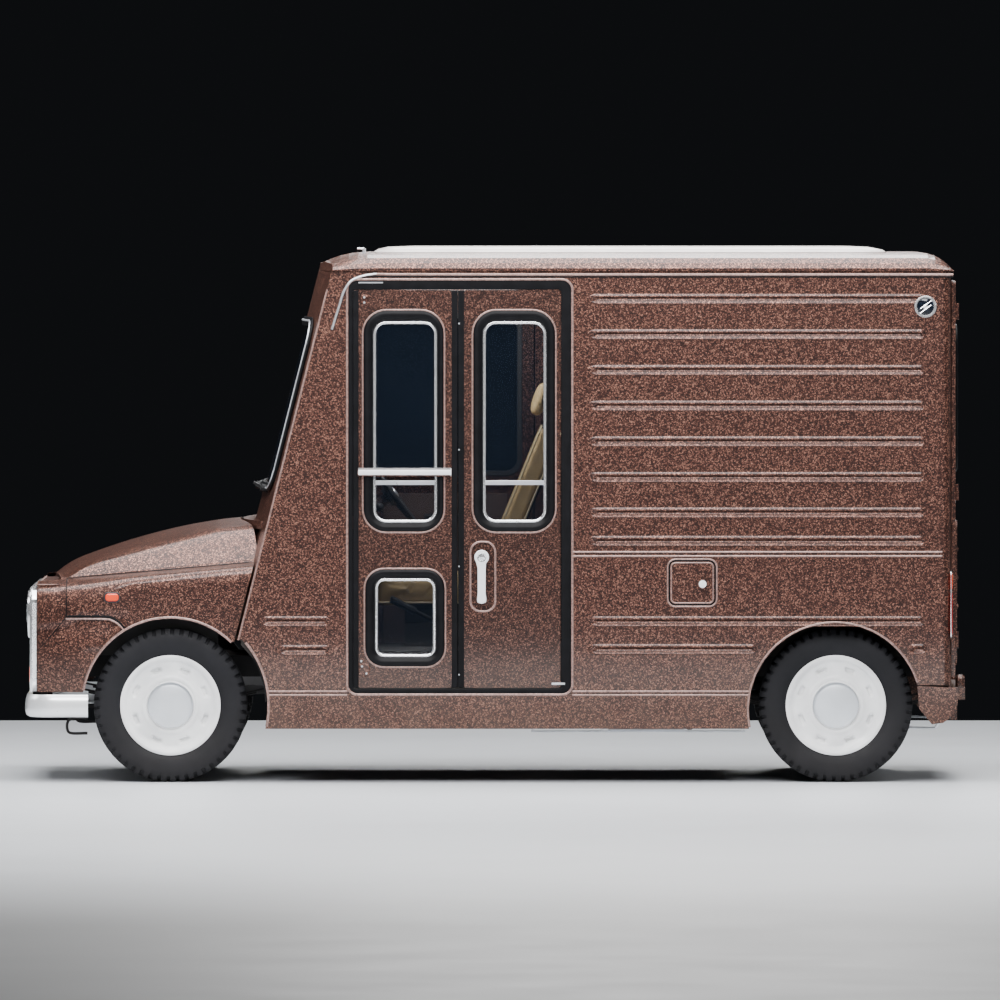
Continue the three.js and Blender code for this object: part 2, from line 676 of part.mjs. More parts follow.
// Chrome front panel: headlamp openings at each side and horizontal bars between them.
function grille() {
  const x0 = NOSE_X - 20;
  const x1 = NOSE_X - 1;
  const plate = alongX(roundedRectangle(-690, 690, 376, 812, 60), x0, x1);
  const window = alongX(roundedRectangle(-415, 415, 520, 782, 30), x0 - 5, x1 + 5);
  const hole = (side) =>
    bar([x0 - 5, side * HEADLAMP.y, HEADLAMP.z], [x1 + 5, side * HEADLAMP.y, HEADLAMP.z], HEADLAMP.radius + 4, 16);
  const bars = steps(567, 755, 4).map((z) => box(x0 - 14, x1, -425, 425, z - 9, z + 9));
  return union(plate.subtract(window).subtract(bothSides(hole)), ...bars);
}

function headlamp(side) {
  const { y, z, radius } = HEADLAMP;
  const profile = [
    [0, -95],
    [60, -80],
    [radius, -20],
    [radius, 12],
    [60, 28],
    [0, 34],
  ];
  return turned(profile, [NOSE_X - 15, side * y, z], [-1, 0, 0], 16);
}

const BUMPER = { z0: 273, z1: 368, thick: 26 };

function bumperPlan(front, y, rear, radius) {
  const s = new THREE.Shape();
  s.moveTo(rear, -y).lineTo(front + radius, -y);
  s.absarc(front + radius, -y + radius, radius, -Math.PI / 2, -Math.PI, true);
  s.lineTo(front, y - radius);
  s.absarc(front + radius, y - radius, radius, Math.PI, Math.PI / 2, true);
  s.lineTo(rear, y);
  return s;
}

function frontBumper() {
  const { z0, z1, thick } = BUMPER;
  const front = -OVERALL_HALF_LENGTH;
  const outer = upZ(bumperPlan(front, 800, -1706, 90), z0, z1);
  const inner = upZ(bumperPlan(front + thick, 800 - thick, -1690, 70), z0 - 5, z1 + 5);
  const bracket = (side) => {
    const [y0, y1] = between(side, RAIL_Y - 20, RAIL_Y + 20);
    return box(front + thick - 4, -1892, y0, y1, z0 + 20, z1);
  };
  const stay = (side) => {
    const [y0, y1] = between(side, RAIL_Y - 20, RAIL_Y + 20);
    return box(-1915, -1892, y0, y1, z0 + 20, 500);
  };
  return union(outer.subtract(inner), bothSides(bracket), bothSides(stay));
}

// Rear bumper: a bar with a rubbing strip between two rounded corner pieces that end the sides.
function rearBumper() {
  const s = new THREE.Shape();
  s.moveTo(1787, 330).lineTo(1789, 311).lineTo(1842, 246).lineTo(1888, 252);
  s.quadraticCurveTo(1935, 275, 1950, 330).lineTo(1950, 400).lineTo(1780, 408);
  const corner = (side) => acrossY(s, ...between(side, 700, HALF_WIDTH));
  const hollow = (side) => box(1700, 1922, ...between(side, 660, HALF_WIDTH - 18), 200, 396);
  const rail = box(1923, 1950, -760, 760, 262, 400);
  const strip = box(1940, OVERALL_HALF_LENGTH, -740, 740, 346, 400);
  const bracket = (side) => {
    const [y0, y1] = between(side, RAIL_Y - 25, RAIL_Y + 25);
    return box(1902, 1920, y0, y1, 300, 515).add(box(1918, 1926, y0, y1, 300, 398));
  };
  return union(bothSides(corner).subtract(bothSides(hollow)), rail, strip, bothSides(bracket));
}

// ---------------------------------------------------------------- engine and underbody
function engine() {
  const block = box(-1690, -1176, -150, 150, 440, 790);
  const sump = box(-1650, -1230, -120, 120, 372, 445);
  const cover = box(-1650, -1210, -90, 90, 785, 850);
  const bell = bar([-1180, 0, 430], [-1010, 0, 420], 112, 12, 78);
  const gearbox = bar([-1015, 0, 420], [-562, 0, 415], 78, 12, 55);
  const cleaner = bar([-1440, -170, 800], [-1440, -170, 870], 105, 14);
  const inlet = box(-1490, -1390, -180, -140, 740, 815);
  return union(block, sump, cover, bell, gearbox, cleaner, inlet);
}

function exhaust() {
  const path = new THREE.CatmullRomCurve3(
    [
      [-1300, 186, 560],
      [-1150, 205, 450],
      [-960, 225, 372],
      [-500, 225, 362],
      [100, 225, 362],
      [560, 225, 362],
      [700, 280, 345],
      [800, 430, 300],
      [838, 620, 222],
      [846, 812, 178],
    ].map((p) => new THREE.Vector3(...p)),
  );
  const ring = new THREE.Shape().absarc(0, 0, 22, 0, 2 * Math.PI);
  const pipe = solid(
    new THREE.ExtrudeGeometry(ring, { steps: 30, extrudePath: path, curveSegments: 4 }),
  );
  return union(pipe, bar([90, 225, 362], [590, 225, 362], 66, 14));
}

const FILLER = { x: 835, y: -770, z: 842 };

function fuelTank() {
  const tank = alongX(roundedRectangle(-790, -430, 265, 470, 45), 420, 905);
  const neck = bar([FILLER.x, FILLER.y, 460], [FILLER.x, FILLER.y, FILLER.z], 26, 12);
  const cap = bar([FILLER.x, FILLER.y + 10, FILLER.z], [FILLER.x, -818, FILLER.z], 36, 16);
  return union(tank, neck, cap);
}

// The tank's filler neck passes up through the floor here.
const neckHole = () => bar([FILLER.x, FILLER.y, 480], [FILLER.x, FILLER.y, 580], 32, 12);

// ---------------------------------------------------------------- cab interior
const PEDAL_PIVOT = { x: -880, z: 940, pin: 7 };

// A point on the steering column's axis, `down` mm below the wheel's centre.
const onColumn = (down) => STEERING_CENTRE.clone().addScaledVector(STEERING_AXIS, -down).toArray();

function dashboard() {
  const profile = [
    [-935, 1010],
    [-790, 1010],
    [-765, 1040],
    [-765, 1090],
    [-800, 1135],
    [-895, 1150],
    [-908, 1120],
  ];
  const dash = acrossY(shapeOf(profile), -815, 815);
  const binnacle = box(-860, -755, 260, 500, 1100, 1175);
  const column = bar(onColumn(24), onColumn(600), 22, 12);
  const columnHanger = box(-800, -770, 366, 394, 935, 1015);
  const { x, z, pin } = PEDAL_PIVOT;
  const pedalHanger = (y) => box(x - 16, x + 16, y, y + 12, z - 12, 1015);
  const shaft = bar([x, 290, z], [x, 550, z], pin, 12);
  return union(dash, binnacle, column, columnHanger, pedalHanger(374), pedalHanger(476), shaft);
}

function steeringWheel() {
  const ring = solid(new THREE.TorusGeometry(200, 12, 6, 28));
  const hub = solid(new THREE.CylinderGeometry(34, 42, 44, 14).rotateX(Math.PI / 2));
  const spoke = (deg) => {
    const a = (deg * Math.PI) / 180;
    return bar([20 * Math.cos(a), 20 * Math.sin(a), 2], [194 * Math.cos(a), 194 * Math.sin(a), 2], 8, 8);
  };
  const made = union(ring, hub, ...[0, 90, 270].map(spoke));
  const turn = new THREE.Matrix4().makeBasis(
    new THREE.Vector3(0, 1, 0).cross(STEERING_AXIS).normalize(),
    new THREE.Vector3(0, 1, 0),
    STEERING_AXIS,
  );
  turn.setPosition(STEERING_CENTRE);
  return made.transform(turn.toArray());
}

function shiftLever() {
  const [a, b] = [onColumn(130), onColumn(160)];
  const collar = bar(a, b, 36, 14).subtract(bar(onColumn(120), onColumn(170), 26, 14));
  const start = onColumn(145);
  const tip = [start[0] + 60, start[1] - 230, start[2] + 30];
  const rod = bar([start[0] + 2, start[1] - 28, start[2]], tip, 7, 8);
  const knob = solid(new THREE.SphereGeometry(20, 10, 8).translate(...tip));
  return union(collar, rod, knob);
}

// A hanging pedal: pivot boss, arm and pad.
function pedal(y, padWidth, padHeight, padZ) {
  const { x, z, pin } = PEDAL_PIVOT;
  const boss = bar([x, y - 14, z], [x, y + 14, z], 16, 12);
  const padX = -800;
  const arm = [
    [x - 8, z],
    [x + 8, z],
    [padX + 6, padZ + 20],
    [padX + 6, padZ - 12],
    [padX - 8, padZ - 12],
  ];
  const blade = acrossY(shapeOf(arm), y - 6, y + 6);
  const pad = box(padX - 2, padX + 14, y - padWidth / 2, y + padWidth / 2, padZ - padHeight / 2, padZ + padHeight / 2);
  return union(boss, blade, pad).subtract(bar([x, y - 20, z], [x, y + 20, z], pin + 1, 12));
}

function handbrake() {
  const { x, y, z, pin } = HANDBRAKE;
  const boss = bar([x, y - 14, z], [x, y + 14, z], 24, 12);
  const lever = bar([x, y, z], [x - 300, y, z + 150], 9, 8);
  const grip = bar([x - 215, y, z + 107], [x - 318, y, z + 159], 16, 10);
  return union(boss, lever, grip).subtract(bar([x, y - 30, z], [x, y + 30, z], pin + 1, 12));
}

// Driver's seat: cushion, raked back and head pad on a tray that runs in the seat box's rails.
const SEAT = { y0: 155, y1: 605, cushionZ: 715, backFoot: -60, rake: 0.412 };

function driverSeat() {
  const { y0, y1, cushionZ, backFoot, rake } = SEAT;
  const cushion = acrossY(roundedRectangle(-505, 45, cushionZ, cushionZ + 138, 38), y0, y1);
  const tray = box(-385, -10, y0 + 35, y1 - 35, 700, cushionZ + 5);
  const runners = box(-380, -20, 200, 230, 641, 702).add(box(-380, -20, 530, 560, 641, 702));
  const back = (za, zb, thick, inset) => {
    const at = (z) => backFoot + (z - 850) * rake;
    const outline = [
      [at(za), za],
      [at(za) + thick, za],
      [at(zb) + thick, zb],
      [at(zb) + 8, zb],
    ];
    return acrossY(shapeOf(outline), y0 + inset, y1 - inset);
  };
  return union(cushion, tray, runners, back(850, 1490, 105, 5), back(1480, 1650, 70, 110));
}

// ---------------------------------------------------------------- doors
// A flat door leaf with rounded windows, and the pane that fills one of them.
const PANE = { y0: 825, y1: 831 };

function leaf(side, { x0, x1, z0, z1, radius }, windows) {
  const [y0, y1] = between(side, LEAF_INNER_Y, LEAF_OUTER_Y);
  const slab = acrossY(roundedRectangle(x0, x1, z0, z1, radius), y0, y1);
  return windows.reduce((made, w) => {
    const hole = roundedRectangle(w.x0, w.x1, w.z0, w.z1, w.radius);
    return made.subtract(acrossY(hole, y0 - 10, y1 + 10));
  }, slab);
}

function pane(side, { x0, x1, z0, z1, radius }) {
  const outline = roundedRectangle(x0 + GAP, x1 - GAP, z0 + GAP, z1 - GAP, radius - GAP);
  return acrossY(outline, ...between(side, PANE.y0, PANE.y1));
}

const FRONT_LEAF = { x0: -571, x1: -174, z0: 399, z1: 2070, radius: 14 };
const REAR_LEAF = { x0: -126, x1: 281, z0: 399, z1: 2070, radius: 14 };
const DRIVER_DOOR = { x0: -604, x1: 173, z0: 398, z1: 2104, radius: 34 };
const FRONT_UPPER = { x0: -511, x1: -232, z0: 1088, z1: 1945, radius: 60 };
const FRONT_LOWER = { x0: -503, x1: -238, z0: 523, z1: 865, radius: 45 };
const REAR_UPPER = { x0: -50, x1: 227, z0: 1088, z1: 1945, radius: 60 };
const DRIVER_WINDOW = { x0: -520, x1: 110, z0: 1268, z1: 1945, radius: 60 };

// The front leaf carries a guard rail on two feet across its upper window.
function frontLeaf() {
  const rail = box(-571, -180, -858, -848, 1288, 1322);
  const foot = (x) => box(x - 12, x + 12, -850, -839, 1292, 1318);
  return union(leaf(LEFT, FRONT_LEAF, [FRONT_UPPER, FRONT_LOWER]), rail, foot(-550), foot(-202));
}

const HANDLE = { x: -50, z: 949, length: 196 };

function rearLeaf() {
  const dish = roundedRectangle(HANDLE.x - 44, HANDLE.x + 54, 724, 1010, 40);
  const cut = acrossY(dish, -LEAF_OUTER_Y - 5, -LEAF_OUTER_Y + 8);
  return leaf(LEFT, REAR_LEAF, [REAR_UPPER]).subtract(cut);
}

function sideHandle() {
  const { x, z, length } = HANDLE;
  const boss = bar([x, -LEAF_OUTER_Y + 7, z], [x, -874, z], 25, 16);
  const lever = [
    [x - 17, z],
    [x + 17, z],
    [x + 12, z - length],
    [x - 12, z - length],
  ];
  return union(boss, acrossY(shapeOf(lever), -872, -860));
}

// The driver's door has a pull handle on two feet near its rear edge.
function driverDoor() {
  const grip = acrossY(roundedRectangle(-30, 130, 1000, 1026, 12), 862, 874);
  const foot = (x) => box(x - 12, x + 12, 839, 864, 1003, 1023);
  return union(leaf(RIGHT, DRIVER_DOOR, [DRIVER_WINDOW]), grip, foot(-10), foot(110));
}

const REAR_DOOR = { y0: 4, y1: 786, z0: 432, z1: 2108, x0: 1925, x1: 1950 };

function rearDoor(side) {
  const { y0, y1, z0, z1, x0, x1 } = REAR_DOOR;
  const [a, b] = between(side, y0, y1);
  const slab = alongX(roundedRectangle(a, b, z0, z1, 14), x0, x1 - 8);
  const panel = alongX(roundedRectangle(a + 30, b - 30, z0 + 60, 1100, 30), x0 + 5, x1);
  const [w0, w1] = between(side, y0 + 150, y1 - 150);
  const window = alongX(roundedRectangle(w0, w1, 1330, 1900, 60), x1 - 12, x1 + 5);
  return union(slab, panel).subtract(window);
}

// Turning handle on the right-hand rear door, near the meeting edge.
const REAR_HANDLE = { y: 70, z: 1180 };

function rearHandle() {
  const { y, z } = REAR_HANDLE;
  const boss = bar([1943, y, z], [1970, y, z], 24, 14);
  const lever = alongX(roundedRectangle(y - 12, y + 150, z - 12, z + 12, 11), 1958, 1968);
  return union(boss, lever);
}

function fuelFlap() {
  const { x0, x1, z0, z1, radius } = FUEL_FLAP;
  const g = 4;
  const plate = acrossY(roundedRectangle(x0 + g, x1 - g, z0 + g, z1 - g, radius - g), -HALF_WIDTH, -HALF_WIDTH + 10);
  const knob = bar([878, -HALF_WIDTH + 4, 836], [878, -HALF_WIDTH - 14, 836], 21, 16);
  return union(plate, knob);
}

// A wiper lies on the plane that touches the cab front at its pivot.
function wiper(pivotY) {
  const z = 1228;
  const normal = new THREE.Vector3(-1, (2 * FRONT_BULGE * pivotY) / HALF_WIDTH ** 2, RAKE).normalize();
  const along = new THREE.Vector3(0, 1, 0).addScaledVector(normal, -normal.y).normalize();
  const up = normal.clone().cross(along);
  const place = new THREE.Matrix4().makeBasis(along, up, normal);
  place.setPosition(rakeX(z) - bulgeAt(pivotY), pivotY, z);
  const boss = bar([0, 0, 1], [0, 0, 34], 16, 12);
  const arm = box(0, 300, -7, 7, 24, 32);
  const blade = box(110, 500, -5, 5, 10, 26);
  return union(boss, arm, blade).transform(place.toArray());
}

// ---------------------------------------------------------------- the truck
const onBothSides = (name, make, finish) => {
  add(`${name}_left`, make(LEFT), finish);
  add(`${name}_right`, make(RIGHT), finish);
};

add("chassis_frame", chassisFrame(), BLACK_STEEL);
add("floor_pan", floorPan().subtract(neckHole()), TRIM_BROWN);
onBothSides("body_side", bodySide, PAINT);
add("roof_shell", roofShell(), PAINT);
add("roof_panel", roofPanel(), ROOF_WHITE);
add("cab_front", cabFront(), PAINT);
add("windscreen", windscreen(), GLASS);
onBothSides("front_fender", fender, PAINT);
add("nose_panel", nosePanel(), PAINT);
add("grille", grille(), CHROME);
onBothSides("headlamp", headlamp, LENS);
add("front_bumper", frontBumper(), CHROME);
add("rear_bumper", rearBumper(), PAINT);
add("engine", engine(), CAST);
add("exhaust", exhaust(), BLACK_STEEL);
add("fuel_tank", fuelTank(), BLACK_STEEL);
add("dashboard", dashboard(), TRIM_BROWN);
onBothSides("front_leaf_spring", (side) => leafSpring(FRONT_SPRING, side), BLACK_STEEL);
onBothSides("rear_leaf_spring", (side) => leafSpring(REAR_SPRING, side), BLACK_STEEL);
add("front_axle_beam", frontAxleBeam(), BLACK_STEEL);
onBothSides("steering_knuckle", knuckle, CAST);
add("tie_rod", tieRod(), BLACK_STEEL);
add("rear_axle", rearAxle(), BLACK_STEEL);
add("prop_shaft", propShaft(), BLACK_STEEL);
for (const [end, x] of [
  ["front", FRONT_AXLE_X],
  ["rear", REAR_AXLE_X],
]) {
  onBothSides(`${end}_tyre`, (side) => tyre(x, side), RUBBER);
  onBothSides(`${end}_rim`, (side) => rim(x, side), WHEEL_WHITE);
}
add("steering_wheel", steeringWheel(), RUBBER);
add("shift_lever", shiftLever(), RUBBER);
add("clutch_pedal", pedal(310, 60, 50, 640), BLACK_STEEL);
add("brake_pedal", pedal(436, 60, 50, 640), BLACK_STEEL);
add("accelerator_pedal", pedal(530, 44, 110, 640), BLACK_STEEL);
add("handbrake_lever", handbrake(), BLACK_STEEL);
add("driver_seat", driverSeat(), TAN);
add("hood", hood(), PAINT);
add("kerb_door_front_leaf", frontLeaf(), PAINT);
add("front_leaf_upper_glass", pane(LEFT, FRONT_UPPER), GLASS);
add("front_leaf_lower_glass", pane(LEFT, FRONT_LOWER), GLASS);
add("kerb_door_rear_leaf", rearLeaf(), PAINT);
add("rear_leaf_glass", pane(LEFT, REAR_UPPER), GLASS);
add("kerb_door_handle", sideHandle(), CHROME);
add("driver_door", driverDoor(), PAINT);
add("driver_door_glass", pane(RIGHT, DRIVER_WINDOW), GLASS);
onBothSides("rear_door", rearDoor, PAINT);
add("rear_door_handle", rearHandle(), CHROME);
add("fuel_flap", fuelFlap(), PAINT);
add("wiper_left", wiper(-560), BLACK_STEEL);
add("wiper_right", wiper(30), BLACK_STEEL);

export default group;
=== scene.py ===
import math

import bmesh
import bpy
from mathutils import Matrix, Vector


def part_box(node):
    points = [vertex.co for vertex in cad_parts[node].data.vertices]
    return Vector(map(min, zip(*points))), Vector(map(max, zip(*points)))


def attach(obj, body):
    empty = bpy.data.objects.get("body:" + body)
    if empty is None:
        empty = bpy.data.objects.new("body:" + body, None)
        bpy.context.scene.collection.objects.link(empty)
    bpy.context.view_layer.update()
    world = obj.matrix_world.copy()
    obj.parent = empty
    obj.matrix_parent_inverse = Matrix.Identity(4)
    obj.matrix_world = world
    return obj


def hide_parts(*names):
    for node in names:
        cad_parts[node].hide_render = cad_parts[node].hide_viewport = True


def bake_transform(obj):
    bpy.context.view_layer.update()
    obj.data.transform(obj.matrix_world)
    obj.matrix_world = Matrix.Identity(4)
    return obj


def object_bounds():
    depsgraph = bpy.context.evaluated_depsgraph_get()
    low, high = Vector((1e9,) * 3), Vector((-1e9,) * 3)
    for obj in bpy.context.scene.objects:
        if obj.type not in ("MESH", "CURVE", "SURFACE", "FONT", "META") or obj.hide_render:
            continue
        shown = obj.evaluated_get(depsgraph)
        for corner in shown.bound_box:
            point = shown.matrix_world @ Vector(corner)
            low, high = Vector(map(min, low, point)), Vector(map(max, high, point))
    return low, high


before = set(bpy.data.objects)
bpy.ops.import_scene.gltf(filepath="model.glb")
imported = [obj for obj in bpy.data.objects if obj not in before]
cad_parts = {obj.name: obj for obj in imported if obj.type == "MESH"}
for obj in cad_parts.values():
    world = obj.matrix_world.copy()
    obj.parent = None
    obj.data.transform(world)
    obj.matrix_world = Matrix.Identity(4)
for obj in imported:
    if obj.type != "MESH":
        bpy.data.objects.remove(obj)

CAD_BOX = [list(corner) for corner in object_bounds()]
SCENE = bpy.context.scene
LEFT, RIGHT = -1, 1
SIDE_NAME = {LEFT: "left", RIGHT: "right"}
SIDES = tuple(SIDE_NAME.items())


# ---------------------------------------------------------------- camera
def make_camera():
    """Almost square on to the kerb side, from far away, as through a long lens."""
    lo, hi = (Vector(c) for c in CAD_BOX)
    aside, height = 0.027, 1.189
    target = Vector(((lo.x + hi.x) / 2 + aside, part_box("body_side_left")[0].y, height))
    distance, elevation, width_seen = 59.0, math.radians(1.3), 4.2
    data = bpy.data.cameras.new("camera")
    data.sensor_width = 36.0
    data.lens = data.sensor_width * distance / width_seen
    data.clip_end = 500
    camera = bpy.data.objects.new("camera", data)
    SCENE.collection.objects.link(camera)
    camera.location = target + distance * Vector((0, -math.cos(elevation), math.sin(elevation)))
    camera.rotation_euler = (math.pi / 2 - elevation, 0, 0)
    SCENE.camera = camera


make_camera()


# ---------------------------------------------------------------- materials
class Finish:
    """A principled material with object-space noise for its tone, roughness and bump."""

    def __init__(self, name, color, rough, metal=0.0, coat=0.0, alpha=1.0):
        self.mat = bpy.data.materials.new(name)
        self.mat.use_nodes = True
        self.tree = self.mat.node_tree
        self.bsdf = self.tree.nodes["Principled BSDF"]
        self.color = color
        self.set("Base Color", (*color, 1))
        self.set("Roughness", rough)
        self.set("Metallic", metal)
        self.set("Coat Weight", coat)
        self.set("Coat Roughness", 0.08)
        self.set("Alpha", alpha)
        self.rough = rough
        self.coords = self.node("ShaderNodeTexCoord").outputs["Object"]

    def set(self, socket, value):
        self.bsdf.inputs[socket].default_value = value

    def node(self, kind, **inputs):
        made = self.tree.nodes.new(kind)
        for key, value in inputs.items():
            made.inputs[key.replace("_", " ")].default_value = value
        return made

    def link(self, a, b):
        self.tree.links.new(a, b)

    def noise(self, scale, detail=3.0, rough=0.5, stretch=None):
        made = self.node("ShaderNodeTexNoise", Scale=scale, Detail=detail, Roughness=rough)
        source = self.coords
        if stretch:
            mapping = self.node("ShaderNodeMapping")
            mapping.inputs["Scale"].default_value = stretch
            self.link(self.coords, mapping.inputs["Vector"])
            source = mapping.outputs["Vector"]
        self.link(source, made.inputs["Vector"])
        return made.outputs["Fac"]

    def ramp(self, factor, stops):
        made = self.node("ShaderNodeValToRGB")
        elements = made.color_ramp.elements
        while len(elements) < len(stops):
            elements.new(0.5)
        for element, (place, color) in zip(elements, stops):
            element.position = place
            element.color = (*color, 1)
        self.link(factor, made.inputs["Fac"])
        return made.outputs["Color"]

    def tone(self, scale, amount, stretch=None):
        """The colour drifts lighter and darker by amount."""
        low = [c * (1 - amount) for c in self.color]
        high = [min(1, c * (1 + amount)) for c in self.color]
        noise = self.noise(scale, stretch=stretch)
        self.paint(self.ramp(noise, [(0.3, low), (0.7, high)]))
        return self

    def paint(self, color_output):
        self.base = color_output
        self.link(color_output, self.bsdf.inputs["Base Color"])

    def uneven(self, scale, spread, stretch=None):
        """The roughness drifts by spread each way."""
        made = self.node("ShaderNodeMapRange")
        made.inputs["To Min"].default_value = max(0, self.rough - spread)
        made.inputs["To Max"].default_value = min(1, self.rough + spread)
        self.link(self.noise(scale, stretch=stretch), made.inputs["Value"])
        self.link(made.outputs["Result"], self.bsdf.inputs["Roughness"])
        return self

    def bump(self, height, distance, strength=1.0):
        made = self.node("ShaderNodeBump", Distance=distance, Strength=strength)
        self.link(height, made.inputs["Height"])
        self.link(made.outputs["Normal"], self.bsdf.inputs["Normal"])
        return self

    def grain(self, scale, distance, stretch=None):
        return self.bump(self.noise(scale, 2.0, stretch=stretch), distance)

    def dust(self, color, top, strength):
        """Road dust that fades out with height, patchy at its upper edge."""
        split = self.node("ShaderNodeSeparateXYZ")
        self.link(self.coords, split.inputs["Vector"])
        fade = self.node("ShaderNodeMapRange")
        fade.inputs["From Min"].default_value = top
        fade.inputs["From Max"].default_value = top * 0.3
        fade.inputs["To Max"].default_value = strength
        self.link(split.outputs["Z"], fade.inputs["Value"])
        patch = self.node("ShaderNodeMath")
        patch.operation = "MULTIPLY"
        self.link(fade.outputs["Result"], patch.inputs[0])
        self.link(self.noise(9, 5.0), patch.inputs[1])
        mix = self.node("ShaderNodeMix")
        mix.data_type = "RGBA"
        self.link(patch.outputs[0], mix.inputs["Factor"])
        self.link(self.base, mix.inputs["A"])
        mix.inputs["B"].default_value = (*color, 1)
        self.paint(mix.outputs["Result"])
        return self


def flake_paint(name, shade):
    """Brown metallic with coarse bright flake: each Voronoi cell is one flake's patch."""
    f = Finish(name, (0.052, 0.019, 0.014), 0.40, metal=0.55, coat=0.25)
    cells = f.node("ShaderNodeTexVoronoi", Scale=185.0)
    f.link(f.coords, cells.inputs["Vector"])
    fine = f.node("ShaderNodeTexVoronoi", Scale=390.0)
    f.link(f.coords, fine.inputs["Vector"])
    mixed = f.node("ShaderNodeMix", Factor=0.45)
    mixed.data_type = "RGBA"
    f.link(cells.outputs["Color"], mixed.inputs["A"])
    f.link(fine.outputs["Color"], mixed.inputs["B"])
    grey = f.node("ShaderNodeRGBToBW")
    f.link(mixed.outputs["Result"], grey.inputs["Color"])
    stops = [
        (0.22, (0.0070, 0.0026, 0.0020)), (0.42, (0.0260, 0.0080, 0.0056)), (0.58, (0.0640, 0.0205, 0.0136)),
        (0.78, (0.3200, 0.1550, 0.1100)),
    ]
    stops = [(at, tuple(shade * c for c in color)) for at, color in stops]
    f.paint(f.ramp(grey.outputs["Val"], stops))
    f.dust((0.19, 0.135, 0.105), 0.60, 0.42)
    f.bump(grey.outputs["Val"], 0.0012, 0.5)
    return f.mat


def simple(
    name, color, rough, metal=0.0, coat=0.0, alpha=1.0, grain=(900, 0.0001), tone=(6, 0.08), shine=0.5,
):
    f = Finish(name, color, rough, metal, coat, alpha)
    f.set("Specular IOR Level", shine)
    f.tone(*tone).uneven(25, min(0.06, rough * 0.4)).grain(*grain)
    return f.mat


def dusty(name, color, rough, top, strength, metal=0.0, grain=(400, 0.0003), shine=0.5):
    f = Finish(name, color, rough, metal)
    f.set("Specular IOR Level", shine)
    f.tone(8, 0.18).uneven(30, 0.08).grain(*grain).dust((0.16, 0.14, 0.125), top, strength)
    return f.mat


PAINT = flake_paint("paint", 1.0)
# The body paint darkened to 0.74: painted shade for the doors, which stand in more shadow.
SHADED_DOOR_PAINT = flake_paint("door_paint_painted_shade", 0.74)
ROOF_WHITE = simple("roof_white", (0.52, 0.485, 0.47), 0.35, coat=0.3, grain=(60, 0.0004))
# A much lighter copy of the body paint for beads, lips, flanges, the gutter and the nose edge: painted highlight
# where these edges catch the light.
PAINTED_HIGHLIGHT = simple(
    "painted_highlight_paint", (0.30, 0.185, 0.160), 0.36, metal=0.4, coat=0.3, grain=(260, 0.0005), tone=(120, 0.45),
)
CHROME = simple("chrome", (0.93, 0.94, 0.95), 0.16, metal=0.80, grain=(40, 0.00003), tone=(4, 0.03))
PLATED = simple(
    "bumper_plating", (0.93, 0.94, 0.95), 0.30, metal=0.45, coat=0.5, grain=(40, 0.00003), tone=(4, 0.03),
)
BRIGHT = simple("bright_trim", (0.72, 0.74, 0.78), 0.30, metal=0.75, grain=(300, 0.0001))
RUBBER = simple("seal_rubber", (0.004, 0.004, 0.005), 0.42, grain=(700, 0.0002), tone=(20, 0.3), shine=0.12)
GLASS = simple("door_glass", (0.006, 0.009, 0.015), 0.04, alpha=0.32, grain=(2, 0.00005))
# Near-black, nearly opaque glass: painted shade for the dark cab seen through the far panes; also used on the rear
# panes and the side lamp lenses.
GLASS_PAINTED_DARK = simple("glass_painted_dark", (0.006, 0.010, 0.017), 0.03, alpha=0.86, grain=(3, 0.0002))
LENS = simple("clear_lens", (0.80, 0.86, 0.90), 0.05, alpha=0.4, grain=(200, 0.0008))
LAMP_GLASS = simple("lamp_glass", (0.86, 0.91, 0.94), 0.03, alpha=0.20, grain=(30, 0.0002))
AMBER = simple("amber_lens", (0.80, 0.055, 0.008), 0.25, coat=0.2, grain=(260, 0.0006))
RED = simple("red_lens", (0.45, 0.01, 0.008), 0.15, coat=0.6, grain=(260, 0.0006))
YELLOW = simple("plate_yellow", (0.80, 0.62, 0.04), 0.4, grain=(500, 0.0001))
WHEEL_WHITE = dusty("wheel_white", (0.97, 0.975, 0.98), 0.32, 0.30, 0.03)
CREAM = simple("cream_piping", (0.62, 0.52, 0.33), 0.5, grain=(400, 0.0003))
# The white hub cap coloured bluish grey: painted shade for its domed face.
HUB_CAP_PAINTED_SHADE = simple("hub_cap", (0.70, 0.73, 0.77), 0.34, metal=0.2, grain=(500, 0.0001))
TYRE = dusty("tyre_rubber", (0.010, 0.010, 0.012), 0.68, 0.42, 0.06, grain=(600, 0.0006), shine=0.22)
BLACK_STEEL = dusty("black_steel", (0.010, 0.010, 0.011), 0.55, 0.60, 0.22, metal=0.2, shine=0.3)
CAST = dusty("cast_iron", (0.20, 0.20, 0.205), 0.6, 0.9, 0.5, metal=0.7, grain=(260, 0.0010))
TRIM = simple("brown_trim", (0.055, 0.032, 0.025), 0.6, grain=(350, 0.0005), tone=(12, 0.2))
FLOOR_MAT = simple("floor_mat", (0.030, 0.026, 0.023), 0.8, grain=(220, 0.0012), tone=(15, 0.25))
VINYL = simple("tan_vinyl", (0.56, 0.41, 0.20), 0.48, grain=(330, 0.0009), tone=(14, 0.10))
MOULDED = simple("moulded_black", (0.016, 0.016, 0.018), 0.45, grain=(500, 0.0004))
WHITE_PAINT = simple("white_enamel", (0.83, 0.84, 0.85), 0.28, coat=0.4, grain=(300, 0.0001))


# ---------------------------------------------------------------- mesh helpers
def soften(piece, width, segments=2):
    bevel = piece.modifiers.new("bevel", "BEVEL")
    bevel.width = width
    bevel.segments = segments
    bevel.limit_method = "ANGLE"
    bevel.angle_limit = math.radians(40)
    bevel.harden_normals = False


